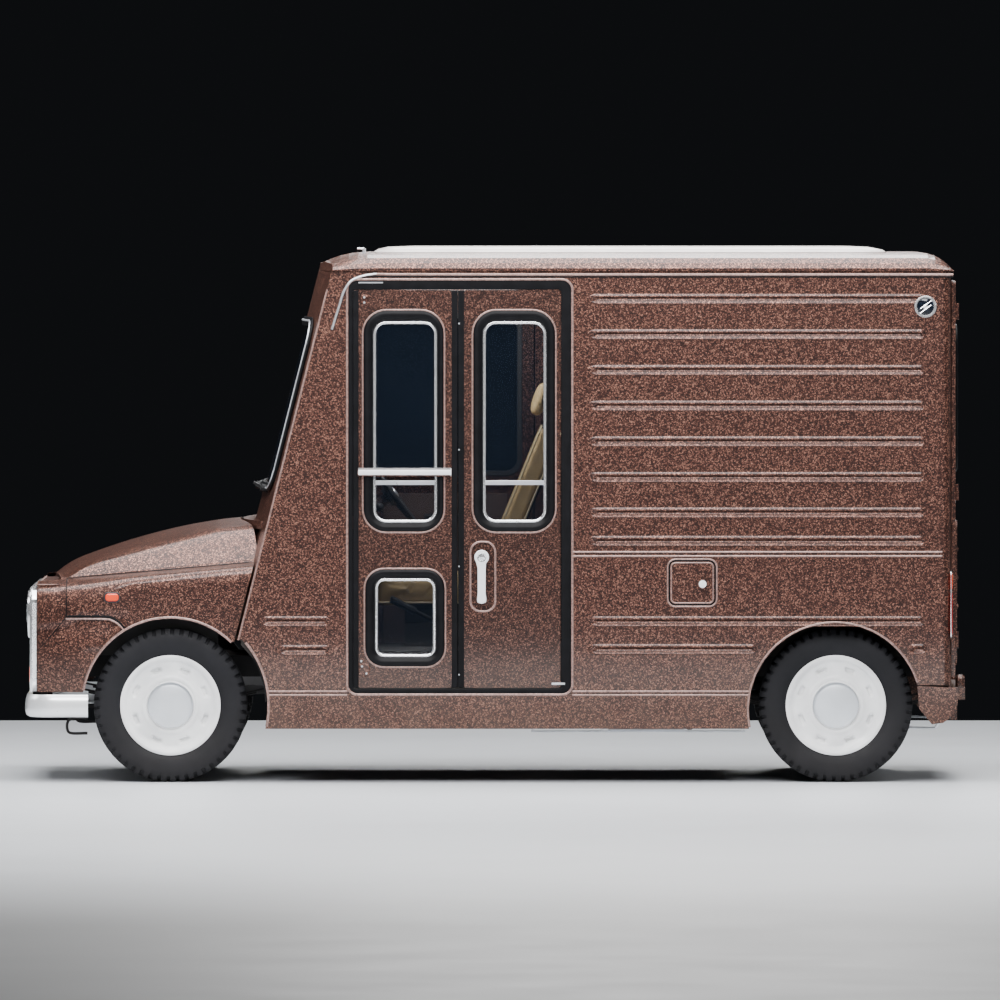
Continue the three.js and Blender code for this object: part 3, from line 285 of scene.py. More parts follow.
def add(name, mat, *solids, body="chassis", slot=None, angle=35, bevel=0.0):
    """Links solids as one piece that rides on a body, shaded smooth below the given angle."""
    verts, faces = joined(*solids)
    mesh = bpy.data.meshes.new(name)
    mesh.from_pydata([tuple(v) for v in verts], [], faces)
    mesh.update()
    check = bmesh.new()
    check.from_mesh(mesh)
    bmesh.ops.remove_doubles(check, verts=check.verts, dist=1e-6)
    bmesh.ops.recalc_face_normals(check, faces=check.faces)
    check.to_mesh(mesh)
    check.free()
    mesh.materials.append(mat)
    shade(mesh, angle)
    piece = bpy.data.objects.new(name, mesh)
    SCENE.collection.objects.link(piece)
    if bevel:
        soften(piece, bevel)
    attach(piece, body)
    return piece


def shade(mesh, angle):
    mesh.polygons.foreach_set("use_smooth", [True] * len(mesh.polygons))
    mesh.set_sharp_from_angle(angle=math.radians(angle))


def place(axis, a, b, c):
    """A point whose in-plane coordinates are a, b and whose coordinate along axis is c."""
    return {"x": (c, a, b), "y": (a, c, b), "z": (a, b, c)}[axis]


def rounded(a0, a1, b0, b1, r, n=8):
    """A rounded rectangle as a list of points, anticlockwise."""
    points = []
    for ca, cb, start in (
        (a1 - r, b1 - r, 0), (a0 + r, b1 - r, 90), (a0 + r, b0 + r, 180), (a1 - r, b0 + r, 270),
    ):
        for i in range(n + 1):
            t = math.radians(start + 90 * i / n)
            points.append((ca + r * math.cos(t), cb + r * math.sin(t)))
    return points


def circle(a, b, r, n=32):
    return [(a + r * math.cos(2 * math.pi * i / n), b + r * math.sin(2 * math.pi * i / n)) for i in range(n)]


def prism(outline, axis, c0, c1):
    """An outline carried along axis from c0 to c1: verts and faces."""
    n = len(outline)
    verts = [place(axis, a, b, c) for c in (c0, c1) for a, b in outline]
    faces = [list(range(n))[::-1], list(range(n, 2 * n))]
    faces += [(i, (i + 1) % n, n + (i + 1) % n, n + i) for i in range(n)]
    return verts, faces


def joined(*solids):
    verts, faces = [], []
    for v, f in solids:
        start = len(verts)
        verts += list(v)
        faces += [tuple(start + i for i in face) for face in f]
    return verts, faces


def on_side(side, level):
    """Maps (x, z, proud) to a point on an upright plane at the given distance from the middle."""
    return lambda x, z, v: (x, side * (level + v), z)


def on_plane(axis, level, out):
    return lambda a, b, v: place(axis, a, b, level + out * v)


def sweep(outline, profile, at, closed=True):
    """A profile of (u, v) carried round an outline: u runs outward in its plane, v stands proud."""
    n, m = len(outline), len(profile)
    verts = []
    for i, (a, b) in enumerate(outline):
        before = outline[i - 1] if closed or i else outline[i]
        after = outline[(i + 1) % n] if closed or i < n - 1 else outline[i]
        da, db = after[0] - before[0], after[1] - before[1]
        length = math.hypot(da, db) or 1
        na, nb = db / length, -da / length
        verts += [at(a + u * na, b + u * nb, v) for u, v in profile]
    return verts, strip_faces(n, m, closed)


def strip_faces(n, m, closed):
    """Faces between n loops of m points each, joined end to end or capped."""
    faces = [
        (i * m + j, i * m + (j + 1) % m, (i + 1) % n * m + (j + 1) % m, (i + 1) % n * m + j)
        for i in range(n if closed else n - 1) for j in range(m)
    ]
    return faces if closed else faces + [tuple(range(m)), tuple(range((n - 1) * m, n * m))[::-1]]


def skinned(loops):
    """Loops of points joined one to the next, the first and the last capped."""
    return [p for loop in loops for p in loop], strip_faces(len(loops), len(loops[0]), False)


def ring_between(outer, inner, profile, at):
    """A profile of (s, v) carried round the gap between two outlines: s is 0 at the outer, 1 at the inner."""
    verts = [
        at(a + s * (c - a), b + s * (d - b), v) for (a, b), (c, d) in zip(outer, inner) for s, v in profile
    ]
    return verts, strip_faces(len(outer), len(profile), True)


def bead(points, normals, profile, closed=False):
    """A profile of (u, v) carried along a path in space: v along each point's normal."""
    n, m = len(points), len(profile)
    verts = []
    for i, (p, normal) in enumerate(zip(points, normals)):
        before = points[i - 1] if closed or i else points[i]
        after = points[(i + 1) % n] if closed or i < n - 1 else points[i]
        across = (after - before).cross(normal).normalized()
        verts += [tuple(p + u * across + v * normal) for u, v in profile]
    return verts, strip_faces(n, m, closed)


def half_round(width, height, n=5, sink=0.001):
    """A low rounded section, its flat foot sunk into what it sits on."""
    arch = [(width / 2 * math.cos(math.pi * i / n), height * math.sin(math.pi * i / n)) for i in range(n + 1)]
    return arch + [(-width / 2, -sink), (width / 2, -sink)]


def turned(profile, centre, axis, n=48, out=1):
    """A profile of (radius, offset) turned about axis through centre; offset runs along out."""
    rings = []
    verts = []
    for r, o in profile:
        ring = []
        for i in range(n if r > 1e-9 else 1):
            t = 2 * math.pi * i / n
            shift = place(axis, r * math.cos(t), r * math.sin(t), out * o)
            ring.append(len(verts))
            verts.append(tuple(c + s for c, s in zip(centre, shift)))
        rings.append(ring)
    return verts, ring_faces(rings, n)


def turned_ring(profile, centre, axis, n, out):
    """A closed profile turned about axis."""
    verts, faces = turned(profile, centre, axis, n, out)
    last = (len(profile) - 1) * n
    return verts, faces + [(last + i, last + (i + 1) % n, (i + 1) % n, i) for i in range(n)]


def ring_faces(rings, n):
    faces = []
    for a, b in zip(rings, rings[1:]):
        if len(a) == 1 and len(b) == 1:
            continue
        for i in range(n):
            j = (i + 1) % n
            quad = [a[i % len(a)], a[j % len(a)], b[j % len(b)], b[i % len(b)]]
            faces.append(tuple(dict.fromkeys(quad)))
    return faces


def rod(a, b, r, n=16):
    """A round rod from a to b with flat ends."""
    a, b = Vector(a), Vector(b)
    way = (b - a).normalized()
    side = way.orthogonal().normalized()
    up = way.cross(side)
    verts = [
        tuple(p + r * (math.cos(t) * side + math.sin(t) * up)) for p in (a, b)
        for t in (2 * math.pi * i / n for i in range(n))
    ]
    faces = [tuple(range(n))[::-1], tuple(range(n, 2 * n))]
    faces += [(i, (i + 1) % n, n + (i + 1) % n, n + i) for i in range(n)]
    return verts, faces


def tube(path, r, n=12):
    """A round tube along a smoothed path in space."""
    points = [Vector(p) for p in smooth_path([tuple(p) for p in path], 6)]
    verts, up = [], Vector((0.3, 0.2, 1))
    for i, p in enumerate(points):
        way = (points[min(i + 1, len(points) - 1)] - points[max(i - 1, 0)]).normalized()
        a = way.cross(up).normalized()
        b = way.cross(a)
        verts += [
            tuple(p + r * (math.cos(t) * a + math.sin(t) * b))
            for t in (2 * math.pi * k / n for k in range(n))
        ]
    return verts, strip_faces(len(points), n, False)


def bolt_head(a, b, c, axis, out, r=0.008, height=0.005):
    return prism(circle(a, b, r, 6), axis, c, c + out * height)


def smooth_path(points, n=8):
    """A Catmull-Rom curve through 2-D or 3-D points."""
    pts = [Vector(p) for p in points]
    pts = [2 * pts[0] - pts[1]] + pts + [2 * pts[-1] - pts[-2]]
    made = []
    for a, b, c, d in zip(pts, pts[1:], pts[2:], pts[3:]):
        for i in range(n):
            t = i / n
            made.append(
                0.5 * (
                    2 * b + (c - a) * t + (
                        2 * a - 5 * b + 4 * c - d
                    ) * t * t + (3 * b - a - 3 * c + d) * t ** 3
                )
            )
    return made + [pts[-2]]


def middle_of(node):
    lo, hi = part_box(node)
    return (lo + hi) / 2


def around(rect, by):
    """The outline of a rounded rectangle (a0, a1, b0, b1, r) moved outward by a distance."""
    return rounded(*grown(rect, by))


def grown(rect, by):
    """A rounded rectangle's numbers (a0, a1, b0, b1, r) moved outward by a distance."""
    a0, a1, b0, b1, r = rect
    return a0 - by, a1 + by, b0 - by, b1 + by, max(0.002, r + by)


# ---------------------------------------------------------------- CAD nodes that stay visible
def dress(mat, *nodes, angle=35, bevel=0.0):
    for name in nodes:
        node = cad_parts[name]
        node.data.materials.clear()
        node.data.materials.append(mat)
        shade(node.data, angle)
        if bevel:
            soften(node, bevel)


def both(stem):
    return [f"{stem}_left", f"{stem}_right"]


def dress_nodes():
    dress(PAINT, *both("body_side"), bevel=0.004)
    dress(PAINT, "roof_shell", "cab_front", "nose_panel", "rear_bumper", bevel=0.003)
    # The doors get the darkened paint: painted shade.
    dress(SHADED_DOOR_PAINT, "kerb_door_front_leaf", "kerb_door_rear_leaf", "driver_door", bevel=0.003)
    dress(PAINT, *both("rear_door"), "fuel_flap", bevel=0.003)
    dress(CHROME, "grille", "rear_door_handle", bevel=0.003)
    dress(GLASS, "front_leaf_upper_glass", "front_leaf_lower_glass", "rear_leaf_glass")
    # The windscreen and the driver's glass get the near-black glass: painted shade.
    dress(GLASS_PAINTED_DARK, "windscreen", "driver_door_glass")
    dress(BLACK_STEEL, "chassis_frame", "fuel_tank", "front_axle_beam", "tie_rod", bevel=0.002)
    dress(BLACK_STEEL, "exhaust", "rear_axle", "prop_shaft", angle=45)
    dress(CAST, "engine", *both("steering_knuckle"), bevel=0.004)
    dress(FLOOR_MAT, "floor_pan", bevel=0.003)
    dress(TRIM, "dashboard", bevel=0.006)
    dress(MOULDED, "shift_lever", angle=50)
    dress(BLACK_STEEL, "clutch_pedal", "brake_pedal", "accelerator_pedal", bevel=0.002)
    dress(BLACK_STEEL, "handbrake_lever", "wiper_left", "wiper_right", bevel=0.001)


# ---------------------------------------------------------------- wheels
LUGS = 50
TYRE_PROFILE = [
    (0.1925, 0.058), (0.2125, 0.0605), (0.221, 0.0675), (0.232, 0.0735), (0.252, 0.0785), (0.276, 0.0795),
    (0.290, 0.0785), (0.300, 0.0760), (0.313, 0.0700), (0.3205, 0.0610), (0.3225, 0.0480), (0.3230, 0.0300),
    (0.3135, 0.0270), (0.3135, 0.0200), (0.3230, 0.0170),
]


def make_tyre(end, side):
    """A tyre with staggered shoulder lugs and two grooves round the tread."""
    node = f"{end}_tyre_{SIDE_NAME[side]}"
    centre = middle_of(node)
    profile = TYRE_PROFILE + [(r, -o) for r, o in reversed(TYRE_PROFILE)]
    steps = [0.0, 0.30, 0.56, 0.64, 0.92]
    angles = [2 * math.pi * (lug + s) / LUGS for lug in range(LUGS) for s in steps]
    verts, rings = [], []
    for r, o in profile:
        ring = []
        turn = 0.5 * 2 * math.pi / LUGS if o < 0 else 0.0
        for i, angle in enumerate(angles):
            gap = i % len(steps) in (3, 4)
            cut = 0.0
            if gap and abs(o) > 0.045 and r > 0.296:
                cut = 0.010 * min(1, (r - 0.296) / 0.012)
            t = angle + turn * min(1, abs(o) / 0.03) + math.pi / 2
            ring.append(len(verts))
            sink = 0.25 * cut * (1 if o > 0 else -1)
            verts.append(
                (
                    centre.x + (r - cut) * math.cos(t), centre.y + side * (o - sink),
                    centre.z + (r - cut) * math.sin(t),
                )
            )
        rings.append(ring)
    faces = ring_faces(rings + [rings[0]], len(angles))
    body = f"{end}_wheel_{SIDE_NAME[side]}"
    tyre = add(f"{end}_tyre_tread_{SIDE_NAME[side]}", TYRE, (verts, faces), body=body, angle=28)
    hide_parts(node)


def rim_offset(r, t):
    """How far the wheel's face stands out at radius r and angle t: a pressed disc with slots."""
    knots = [
        (0.098, 0.0520), (0.104, 0.0500), (0.110, 0.0545), (0.118, 0.0545), (0.126, 0.0500), (0.142, 0.0480),
        (0.172, 0.0470), (0.182, 0.0500), (0.190, 0.0590), (0.196, 0.0640), (0.204, 0.0660), (0.211, 0.0640),
    ]
    o = knots[-1][1]
    for (r0, o0), (r1, o1) in zip(knots, knots[1:]):
        if r0 <= r <= r1:
            s = (r - r0) / (r1 - r0)
            o = o0 + (o1 - o0) * s * s * (3 - 2 * s)
            break
    nearest = min(
        abs((t - math.radians(22.5 + 45 * k) + math.pi) % (2 * math.pi) - math.pi) for k in range(8)
    )
    along, across = nearest * 0.156 / 0.021, (r - 0.156) / 0.0095
    depth = along ** 4 + across ** 4
    return o - 0.014 / (1 + depth ** 2) - (0.010 if depth < 0.5 else 0)


def make_rim(end, side):
    name = SIDE_NAME[side]
    node = f"{end}_rim_{name}"
    centre = middle_of(f"{end}_tyre_{name}")
    n = 192
    radii = [0.097 + 0.0038 * i for i in range(31)]
    outer = [[(r, rim_offset(r, 2 * math.pi * i / n)) for i in range(n)] for r in radii]
    back = [
        (0.211, 0.0606), (0.1915, 0.0606), (0.1915, -0.0606), (0.184, -0.0606), (0.184, 0.030),
        (0.097, 0.018),
    ]
    outer += [[(r, o)] * n for r, o in back]
    verts = [
        (
            centre.x + r * math.cos(2 * math.pi * i / n), centre.y + side * o,
            centre.z + r * math.sin(2 * math.pi * i / n),
        ) for ring in outer for i, (r, o) in enumerate(ring)
    ]
    rings = [list(range(k * n, (k + 1) * n)) for k in range(len(outer))]
    faces = ring_faces(rings + [rings[0]], n)
    body = f"{end}_wheel_{name}"
    disc = add(f"{end}_wheel_disc_{name}", WHEEL_WHITE, (verts, faces), body=body, angle=50)
    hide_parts(node)
    cap = [(0, 0.0575), (0.03, 0.0570), (0.06, 0.0545), (0.082, 0.0500), (0.092, 0.0465), (0.0965, 0.0425)]
    cap += [(0.0965, 0.022), (0.062, 0.020), (0.062, -0.040), (0, -0.040)]
    solid = turned(cap, centre, "y", 64, side)
    add(f"{end}_hub_cap_{name}", HUB_CAP_PAINTED_SHADE, solid, body=body)


def make_wheels():
    for end in ("front", "rear"):
        for side in (LEFT, RIGHT):
            make_tyre(end, side)
            make_rim(end, side)


# ---------------------------------------------------------------- the box sides
BODY_LO, BODY_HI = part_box("body_side_left")
SIDE = -BODY_LO.y
EAVES = BODY_HI.z
LEAF = -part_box("kerb_door_rear_leaf")[0].y
DOORWAY = {
    LEFT: (-0.611, 0.327, 0.375, EAVES - 0.038, 0.040), RIGHT: (-0.611, 0.180, 0.375, EAVES - 0.038, 0.040),
}
RIB_HEIGHTS = (2.034, 1.885, 1.735, 1.585, 1.435, 1.285, 1.136, 1.017, 0.679)
RIBS = [(0.392, 1.815, z) for z in RIB_HEIGHTS]
RIBS += [(0.392, 1.107, 0.562), (1.741, 1.825, 0.562), (-0.989, -0.687, 0.679), (-0.918, -0.687, 0.558)]
RIB_SECTION = [
    (0.0150, -0.0069, -0.0069), (0.0226, -0.0010, -0.0010), (0.0216, 0.0008, 0.0022),
    (0.0190, 0.0018, 0.0024), (0.0160, 0.0028, 0.0010), (0.0120, 0.0040, -0.0012), (0.0090, 0.0042, -0.0030),
    (0.0070, 0.0026, -0.0040), (0.0040, -0.0034, -0.0054), (0.0015, -0.0064, -0.0064),
]


def racetrack(x0, x1, z, d, full=0.0226, taper=0.045):
    """A slot outline of half height d: round at the rear end, drawn out to a point at the front."""
    taper = min(taper, (x1 - x0) / 3)
    xa, xb, n = x0 + taper, x1 - full, 8
    tail = [(xb + d * math.sin(math.pi * i / n), z - d * math.cos(math.pi * i / n)) for i in range(n + 1)]
    nose = [
        (xa - taper * d / full * math.sin(math.pi * i / n), z + d * math.cos(math.pi * i / n))
        for i in range(n + 1)
    ]
    return tail + nose


def pressed_rib(side, x0, x1, z):
    at = on_side(side, SIDE)
    loops = []
    for d, top, low in RIB_SECTION:
        lift = [(b - z) / d for _, b in racetrack(x0, x1, z, d)]
        loops.append(
            [at(a, b, low + (top - low) * (1 + u) / 2) for (a, b), u in zip(racetrack(x0, x1, z, d), lift)]
        )
    return skinned(loops)


def straight_lip(side, x0, x1, z, width, height):
    return sweep([(x0, z), (x1, z)], half_round(width, height), on_side(side, SIDE), closed=False)


def make_sides():
    for side, name in SIDES:
        add(f"pressed_ribs_{name}", PAINT, *(pressed_rib(side, *rib) for rib in RIBS))
        rear = DOORWAY[side][1]
        lips = [straight_lip(side, rear + 0.004, 1.885, z, 0.009, 0.0026) for z in (0.9705, 0.9535)]
        lips += [straight_lip(side, rear + 0.004, 1.074, z, 0.008, 0.0022) for z in (0.3845, 0.3695)]
        lips += [
            straight_lip(side, -0.952, DOORWAY[side][0] - 0.004, z, 0.008, 0.0022) for z in (0.3845, 0.3695)
        ]
        add(f"waist_and_sill_beads_{name}", PAINTED_HIGHLIGHT, *lips)
        surround = around(DOORWAY[side], 0.004)
        lip = sweep(surround, half_round(0.010, 0.0035), on_side(side, SIDE))
        add(f"doorway_flange_{name}", PAINTED_HIGHLIGHT, lip)
        arch = [
            (1.434 + 0.3655 * math.cos(math.radians(a)), 0.310 + 0.3655 * math.sin(math.radians(a)))
            for a in range(192, -15, -6)
        ]
        arch = [(x, z) for x, z in arch if z > 0.232 and (x < 1.5 or z > 0.412)]
        flange = sweep(arch, half_round(0.009, 0.0040), on_side(side, SIDE), closed=False)
        front = [
            (-1.360 + 0.415 * math.cos(math.radians(a)), 0.323 + 0.415 * math.sin(math.radians(a)))
            for a in range(-12, 44, 4)
        ]
        forward = sweep(front, half_round(0.011, 0.0035), on_side(side, SIDE), closed=False)
        add(f"arch_flange_{name}", PAINTED_HIGHLIGHT, flange, forward)
        gutter = smooth_path(
            [
                (1.930, 2.136), (1.2, 2.136), (0.4, 2.136), (-0.40, 2.137), (-0.505, 2.138), (-0.588, 2.116),
                (-0.626, 2.070), (-0.648, 2.005), (-0.679, 1.905),
            ]
        )
        turn = 28
        rail = sweep(gutter[:turn], half_round(0.013, 0.0075, 6), on_side(side, SIDE), closed=False)
        add(f"rain_gutter_{name}", PAINTED_HIGHLIGHT, rail)
        arc = sweep(gutter[turn - 1 :], half_round(0.010, 0.0075, 6), on_side(side, SIDE), closed=False)
        add(f"rain_gutter_front_{name}", BRIGHT, arc)
        # A black strip just under the gutter: painted shadow of the gutter.
        shade = sweep(
            [(x, z - 0.0105) for x, z in gutter[:-1]], half_round(0.006, 0.0012), on_side(side, SIDE), False,
        )
        add(f"gutter_painted_shadow_{name}", RUBBER, shade)


# ---------------------------------------------------------------- seals, windows and doors
def make_seals():
    """Black weather seals that fill the doorway round the folding door, and between its leaves."""
    front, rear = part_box("kerb_door_front_leaf"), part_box("kerb_door_rear_leaf")
    x0 = DOORWAY[LEFT][0]
    outer = around(DOORWAY[LEFT], -0.0015)
    inner = rounded(x0 + 0.019, rear[1].x + 0.003, front[0].z - 0.003, front[1].z + 0.003, 0.014)
    ring = ring_between(
        outer, inner, [(0, 0.002), (0.5, 0.0035), (1, 0.001), (1, -0.024), (0, -0.024)], on_side(LEFT, LEAF),
    )
    add("kerb_doorway_seal", RUBBER, ring, angle=50)
    z0, z1 = front[0].z + 0.001, front[1].z - 0.001
    lead = slab_box(x0 + 0.0205, front[0].x + 0.004, -LEAF - 0.0025, -LEAF + 0.004, z0, z1)
    add("front_leaf_edge_seal", RUBBER, lead, body="kerb_front_leaf", bevel=0.002)
    middle = (front[1].x + rear[0].x) / 2
    for name, a, b, body in (
        ("front_leaf_centre_seal", front[1].x - 0.004, middle - 0.0008, "kerb_front_leaf"),
        ("rear_leaf_centre_seal", middle + 0.0008, rear[0].x + 0.004, "kerb_rear_leaf"),
    ):
        add(name, RUBBER, slab_box(a, b, -LEAF - 0.0005, -LEAF + 0.022, z0, z1), body=body, bevel=0.003)
    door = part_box("driver_door")
    outer = around(DOORWAY[RIGHT], -0.0015)
    inner = rounded(door[0].x - 0.001, door[1].x + 0.001, door[0].z - 0.001, door[1].z + 0.001, 0.036)
    ring = ring_between(
        outer, inner, [(0, 0.000), (1, -0.001), (1, -0.012), (0, -0.012)], on_side(RIGHT, LEAF),
    )
    add("driver_doorway_seal", RUBBER, ring)


def slab_box(x0, x1, y0, y1, z0, z1):
    return prism([(x0, z0), (x1, z0), (x1, z1), (x0, z1)], "y", y0, y1)


RUBBER_SECTION = [
    (0, -0.002), (0.0, 0.0030), (0.10, 0.0062), (0.26, 0.0082), (0.44, 0.0084), (0.62, 0.0066),
    (0.80, 0.0025), (0.93, -0.0025), (1.0, -0.0078), (1.0, -0.0085), (0.80, -0.0085), (0.78, -0.002),
]
FRAME_SECTION = [
    (0, -0.0088), (0.06, -0.0052), (0.3, -0.0034), (0.65, -0.0038), (0.92, -0.0060), (1, -0.0088),
]


def window(name, hole, outer, body, side=LEFT, lip=True):
    """A rubber round a window hole, a bright frame inside it and a pressed lip outside it."""
    at = on_side(side, LEAF)
    shrunk = around(hole, -0.006)
    rubber = ring_between(rounded(*outer), shrunk, RUBBER_SECTION, at)
    add(f"{name}_rubber", RUBBER, rubber, body=body, angle=50)
    bright = ring_between(around(hole, -0.0045), around(hole, -0.0175), FRAME_SECTION, at)
    add(f"{name}_bright_frame", CHROME, bright, body=body, angle=50)
    if lip:
        pressed = sweep(around(outer, 0.0035), half_round(0.008, 0.0026), at)
        add(f"{name}_pressed_lip", PAINTED_HIGHLIGHT, pressed, body=body)


HOLES = {
    "front_upper": (
        (-0.511, -0.232, 1.088, 1.945, 0.060), (-0.546, -0.210, 1.056, 1.984, 0.096), "kerb_front_leaf",
    ),
    "front_lower": (
        (-0.503, -0.238, 0.523, 0.865, 0.045), (-0.539, -0.206, 0.490, 0.897, 0.078), "kerb_front_leaf",
    ),
    "rear_upper": (
        (-0.050, 0.227, 1.088, 1.945, 0.060), (-0.085, 0.258, 1.056, 1.984, 0.096), "kerb_rear_leaf",
    ),
}
DRIVER_HOLE = (-0.520, 0.110, 1.268, 1.945, 0.060)


def make_windows():
    for name, (hole, outer, body) in HOLES.items():
        window(name, hole, outer, body)
        if name != "front_lower":
            rail = slab_box(hole[0] + 0.010, hole[1] - 0.010, -LEAF + 0.0052, -LEAF + 0.0082, 1.252, 1.271)
            add(f"{name}_sliding_rail", BRIGHT, rail, body=body, bevel=0.001)
    window("driver", DRIVER_HOLE, grown(DRIVER_HOLE, 0.030), "driver_door", RIGHT)
    inside = ring_between(
        around(DRIVER_HOLE, 0.014), around(DRIVER_HOLE, -0.010),
        [(0, -0.0235), (0.15, -0.0275), (0.85, -0.0275), (1, -0.0235), (1, -0.0155), (0.45, -0.0155)],
        on_side(RIGHT, LEAF),
    )
    add("driver_window_inner_frame", MOULDED, inside, body="driver_door")


def make_guard_rail():
    lo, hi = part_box("kerb_door_front_leaf")
    z, half = 1.3055, 0.0175
    section = [(-half, 0.008), (-half, 0.0145), (-half + 0.004, 0.0178), (0, 0.0190)]
    section += [(-u, v) for u, v in reversed(section[:3])]
    at = on_side(LEFT, LEAF)
    rail = sweep([(lo.x + 0.002, z), (hi.x - 0.004, z)], section, at, closed=False)
    add("guard_rail", WHITE_PAINT, rail, body="kerb_front_leaf", bevel=0.0015)
    feet = [
        turned([(0.014, 0), (0.014, 0.009), (0, 0.009)], (x, -LEAF, z), "y", 20, -1) for x in (-0.550, -0.202)
    ]
    add("guard_rail_feet", CHROME, *feet, body="kerb_front_leaf")


def make_kerb_handle():
    """A keyhole-shaped lever hung from a screwed boss, over a dish pressed in the door."""
    x, z, face = -0.050, 0.949, LEAF + 0.028
    outline = [
        (x + 0.031 * math.cos(t), z + 0.031 * math.sin(t))
        for t in [math.radians(a) for a in range(-52, 233, 15)]
    ]
    outline += [
        (x - 0.0175, z - 0.045), (x - 0.0165, z - 0.150), (x - 0.0200, z - 0.176), (x - 0.0185, z - 0.190),
    ]
    outline += [(x, z - 0.196)]
    outline += [
        (x + 0.0185, z - 0.190), (x + 0.0200, z - 0.176), (x + 0.0165, z - 0.150), (x + 0.0175, z - 0.045),
    ]
    lever = add(
        "kerb_handle_lever", WHITE_PAINT, prism(outline, "y", -face + 0.006, -face - 0.003),
        body="kerb_handle", bevel=0.004,
    )
    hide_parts("kerb_door_handle")
    boss = turned(
        [
            (0, 0.0048), (0.008, 0.0044), (0.014, 0.0028), (0.019, 0.0036), (0.021, 0.001), (0.021, -0.002),
            (0, -0.002),
        ], (x, -face - 0.001, z), "y", 32, -1,
    )
    stem = turned([(0.013, 0), (0.013, 0.018), (0, 0.018)], (x, -LEAF + 0.006, z), "y", 24, -1)
    add("kerb_handle_boss", CHROME, boss, stem, body="kerb_handle")
    dish = (-0.094, 0.004, 0.724, 1.010, 0.040)
    lip = sweep(around(dish, 0.003), half_round(0.009, 0.003), on_side(LEFT, LEAF))
    add("handle_dish_lip", PAINTED_HIGHLIGHT, lip, body="kerb_rear_leaf")


def make_door_fittings():
    """Hinge plates, the upper pivot link, the guide bar and small screws of the folding door."""
    link = sweep(
        [(-0.567, 2.102), (-0.464, 2.102)], half_round(0.010, 0.006), on_side(LEFT, LEAF - 0.002),
        closed=False,
    )
    add("pivot_link", BRIGHT, link)
    blobs = [
        prism(rounded(-0.557, -0.528, 2.006, 2.052, 0.013), "y", -LEAF + 0.002, -LEAF - 0.004),
        prism(rounded(-0.566, -0.520, 0.447, 0.502, 0.016), "y", -LEAF + 0.002, -LEAF - 0.005),
    ]
    add("leaf_hinge_plates", PAINT, *blobs, body="kerb_front_leaf", bevel=0.003)
    screws = [
        turned([(0.005, 0), (0.004, 0.0025), (0, 0.003)], (x, -LEAF - 0.0035, z), "y", 12, -1)
        for x, z in ((-0.543, 2.040), (-0.543, 2.018), (-0.553, 0.490), (-0.534, 0.460), (-0.556, 0.512))
    ]
    add("leaf_hinge_screws", BRIGHT, *screws, body="kerb_front_leaf")
    guide = slab_box(0.244, 0.300, -LEAF - 0.004, -LEAF + 0.006, 0.412, 0.421)
    add("lower_guide", BRIGHT, guide, body="kerb_rear_leaf", bevel=0.001)
    dots = [
        turned([(0.0035, 0), (0.0030, 0.002), (0, 0.0024)], (x, -LEAF - 0.001, z), "y", 10, -1)
        for x, z in ((-0.145, 0.455), (-0.145, 0.91), (-0.145, 1.40), (-0.145, 1.93))
    ]
    add("centre_seal_studs", BRIGHT, *dots, body="kerb_rear_leaf")


def make_side_lamps():
    x, z = 1.8135, 2.001
    for side, name in SIDES:
        c = (x, side * SIDE, z)
        ring = turned_ring(
            [
                (0.0455, -0.002), (0.0465, 0.006), (0.043, 0.0105), (0.038, 0.0105), (0.035, 0.006),
                (0.035, -0.002),
            ], c, "y", 48, side,
        )
        add(f"side_lamp_ring_{name}", CHROME, ring)
        lens = turned(
            [(0, 0.0085), (0.012, 0.0080), (0.024, 0.0062), (0.0352, 0.0035), (0.0352, -0.002), (0, -0.002)],
            c, "y", 40, side,
        )
        add(f"side_lamp_lens_{name}", GLASS_PAINTED_DARK, lens)
        glint = turned(
            [(0, 0.0115), (0.006, 0.0105), (0.010, 0.008), (0.010, 0.004), (0, 0.004)], c, "y", 20, side,
        )
        bars = [
            rod(
                (x - 0.022, side * (SIDE + 0.008), z - 0.026 + dz),
                (x + 0.024, side * (SIDE + 0.008), z + 0.008 + dz), 0.0022, 8,
            ) for dz in (-0.001, 0.017)
        ]
        add(f"side_lamp_bulb_{name}", CHROME, glint, *bars)


def make_fuel_flap():
    hole = (0.737, 0.932, 0.747, 0.935, 0.028)
    at = on_side(LEFT, SIDE)
    seam = ring_between(
        around(hole, 0.003), around(hole, -0.0045), [(0, 0.0006), (1, 0.0006), (1, -0.006), (0, -0.006)], at,
    )
    add("fuel_flap_seal", RUBBER, seam)
    add("fuel_flap_flange", PAINTED_HIGHLIGHT, sweep(around(hole, 0.0055), half_round(0.007, 0.0024), at))
    add("fuel_flap_edge", PAINTED_HIGHLIGHT, sweep(around(hole, -0.0095), half_round(0.006, 0.0022), at), body="fuel_flap")
    knob = turned(
        [
            (0, 0.0168), (0.008, 0.0165), (0.009, 0.0148), (0.0150, 0.0148), (0.0195, 0.0110), (0.0205, 0.0),
            (0, 0.0),
        ], (0.878, -SIDE, 0.836), "y", 32, -1,
    )
    add("fuel_flap_lock", WHITE_PAINT, knob, body="fuel_flap")


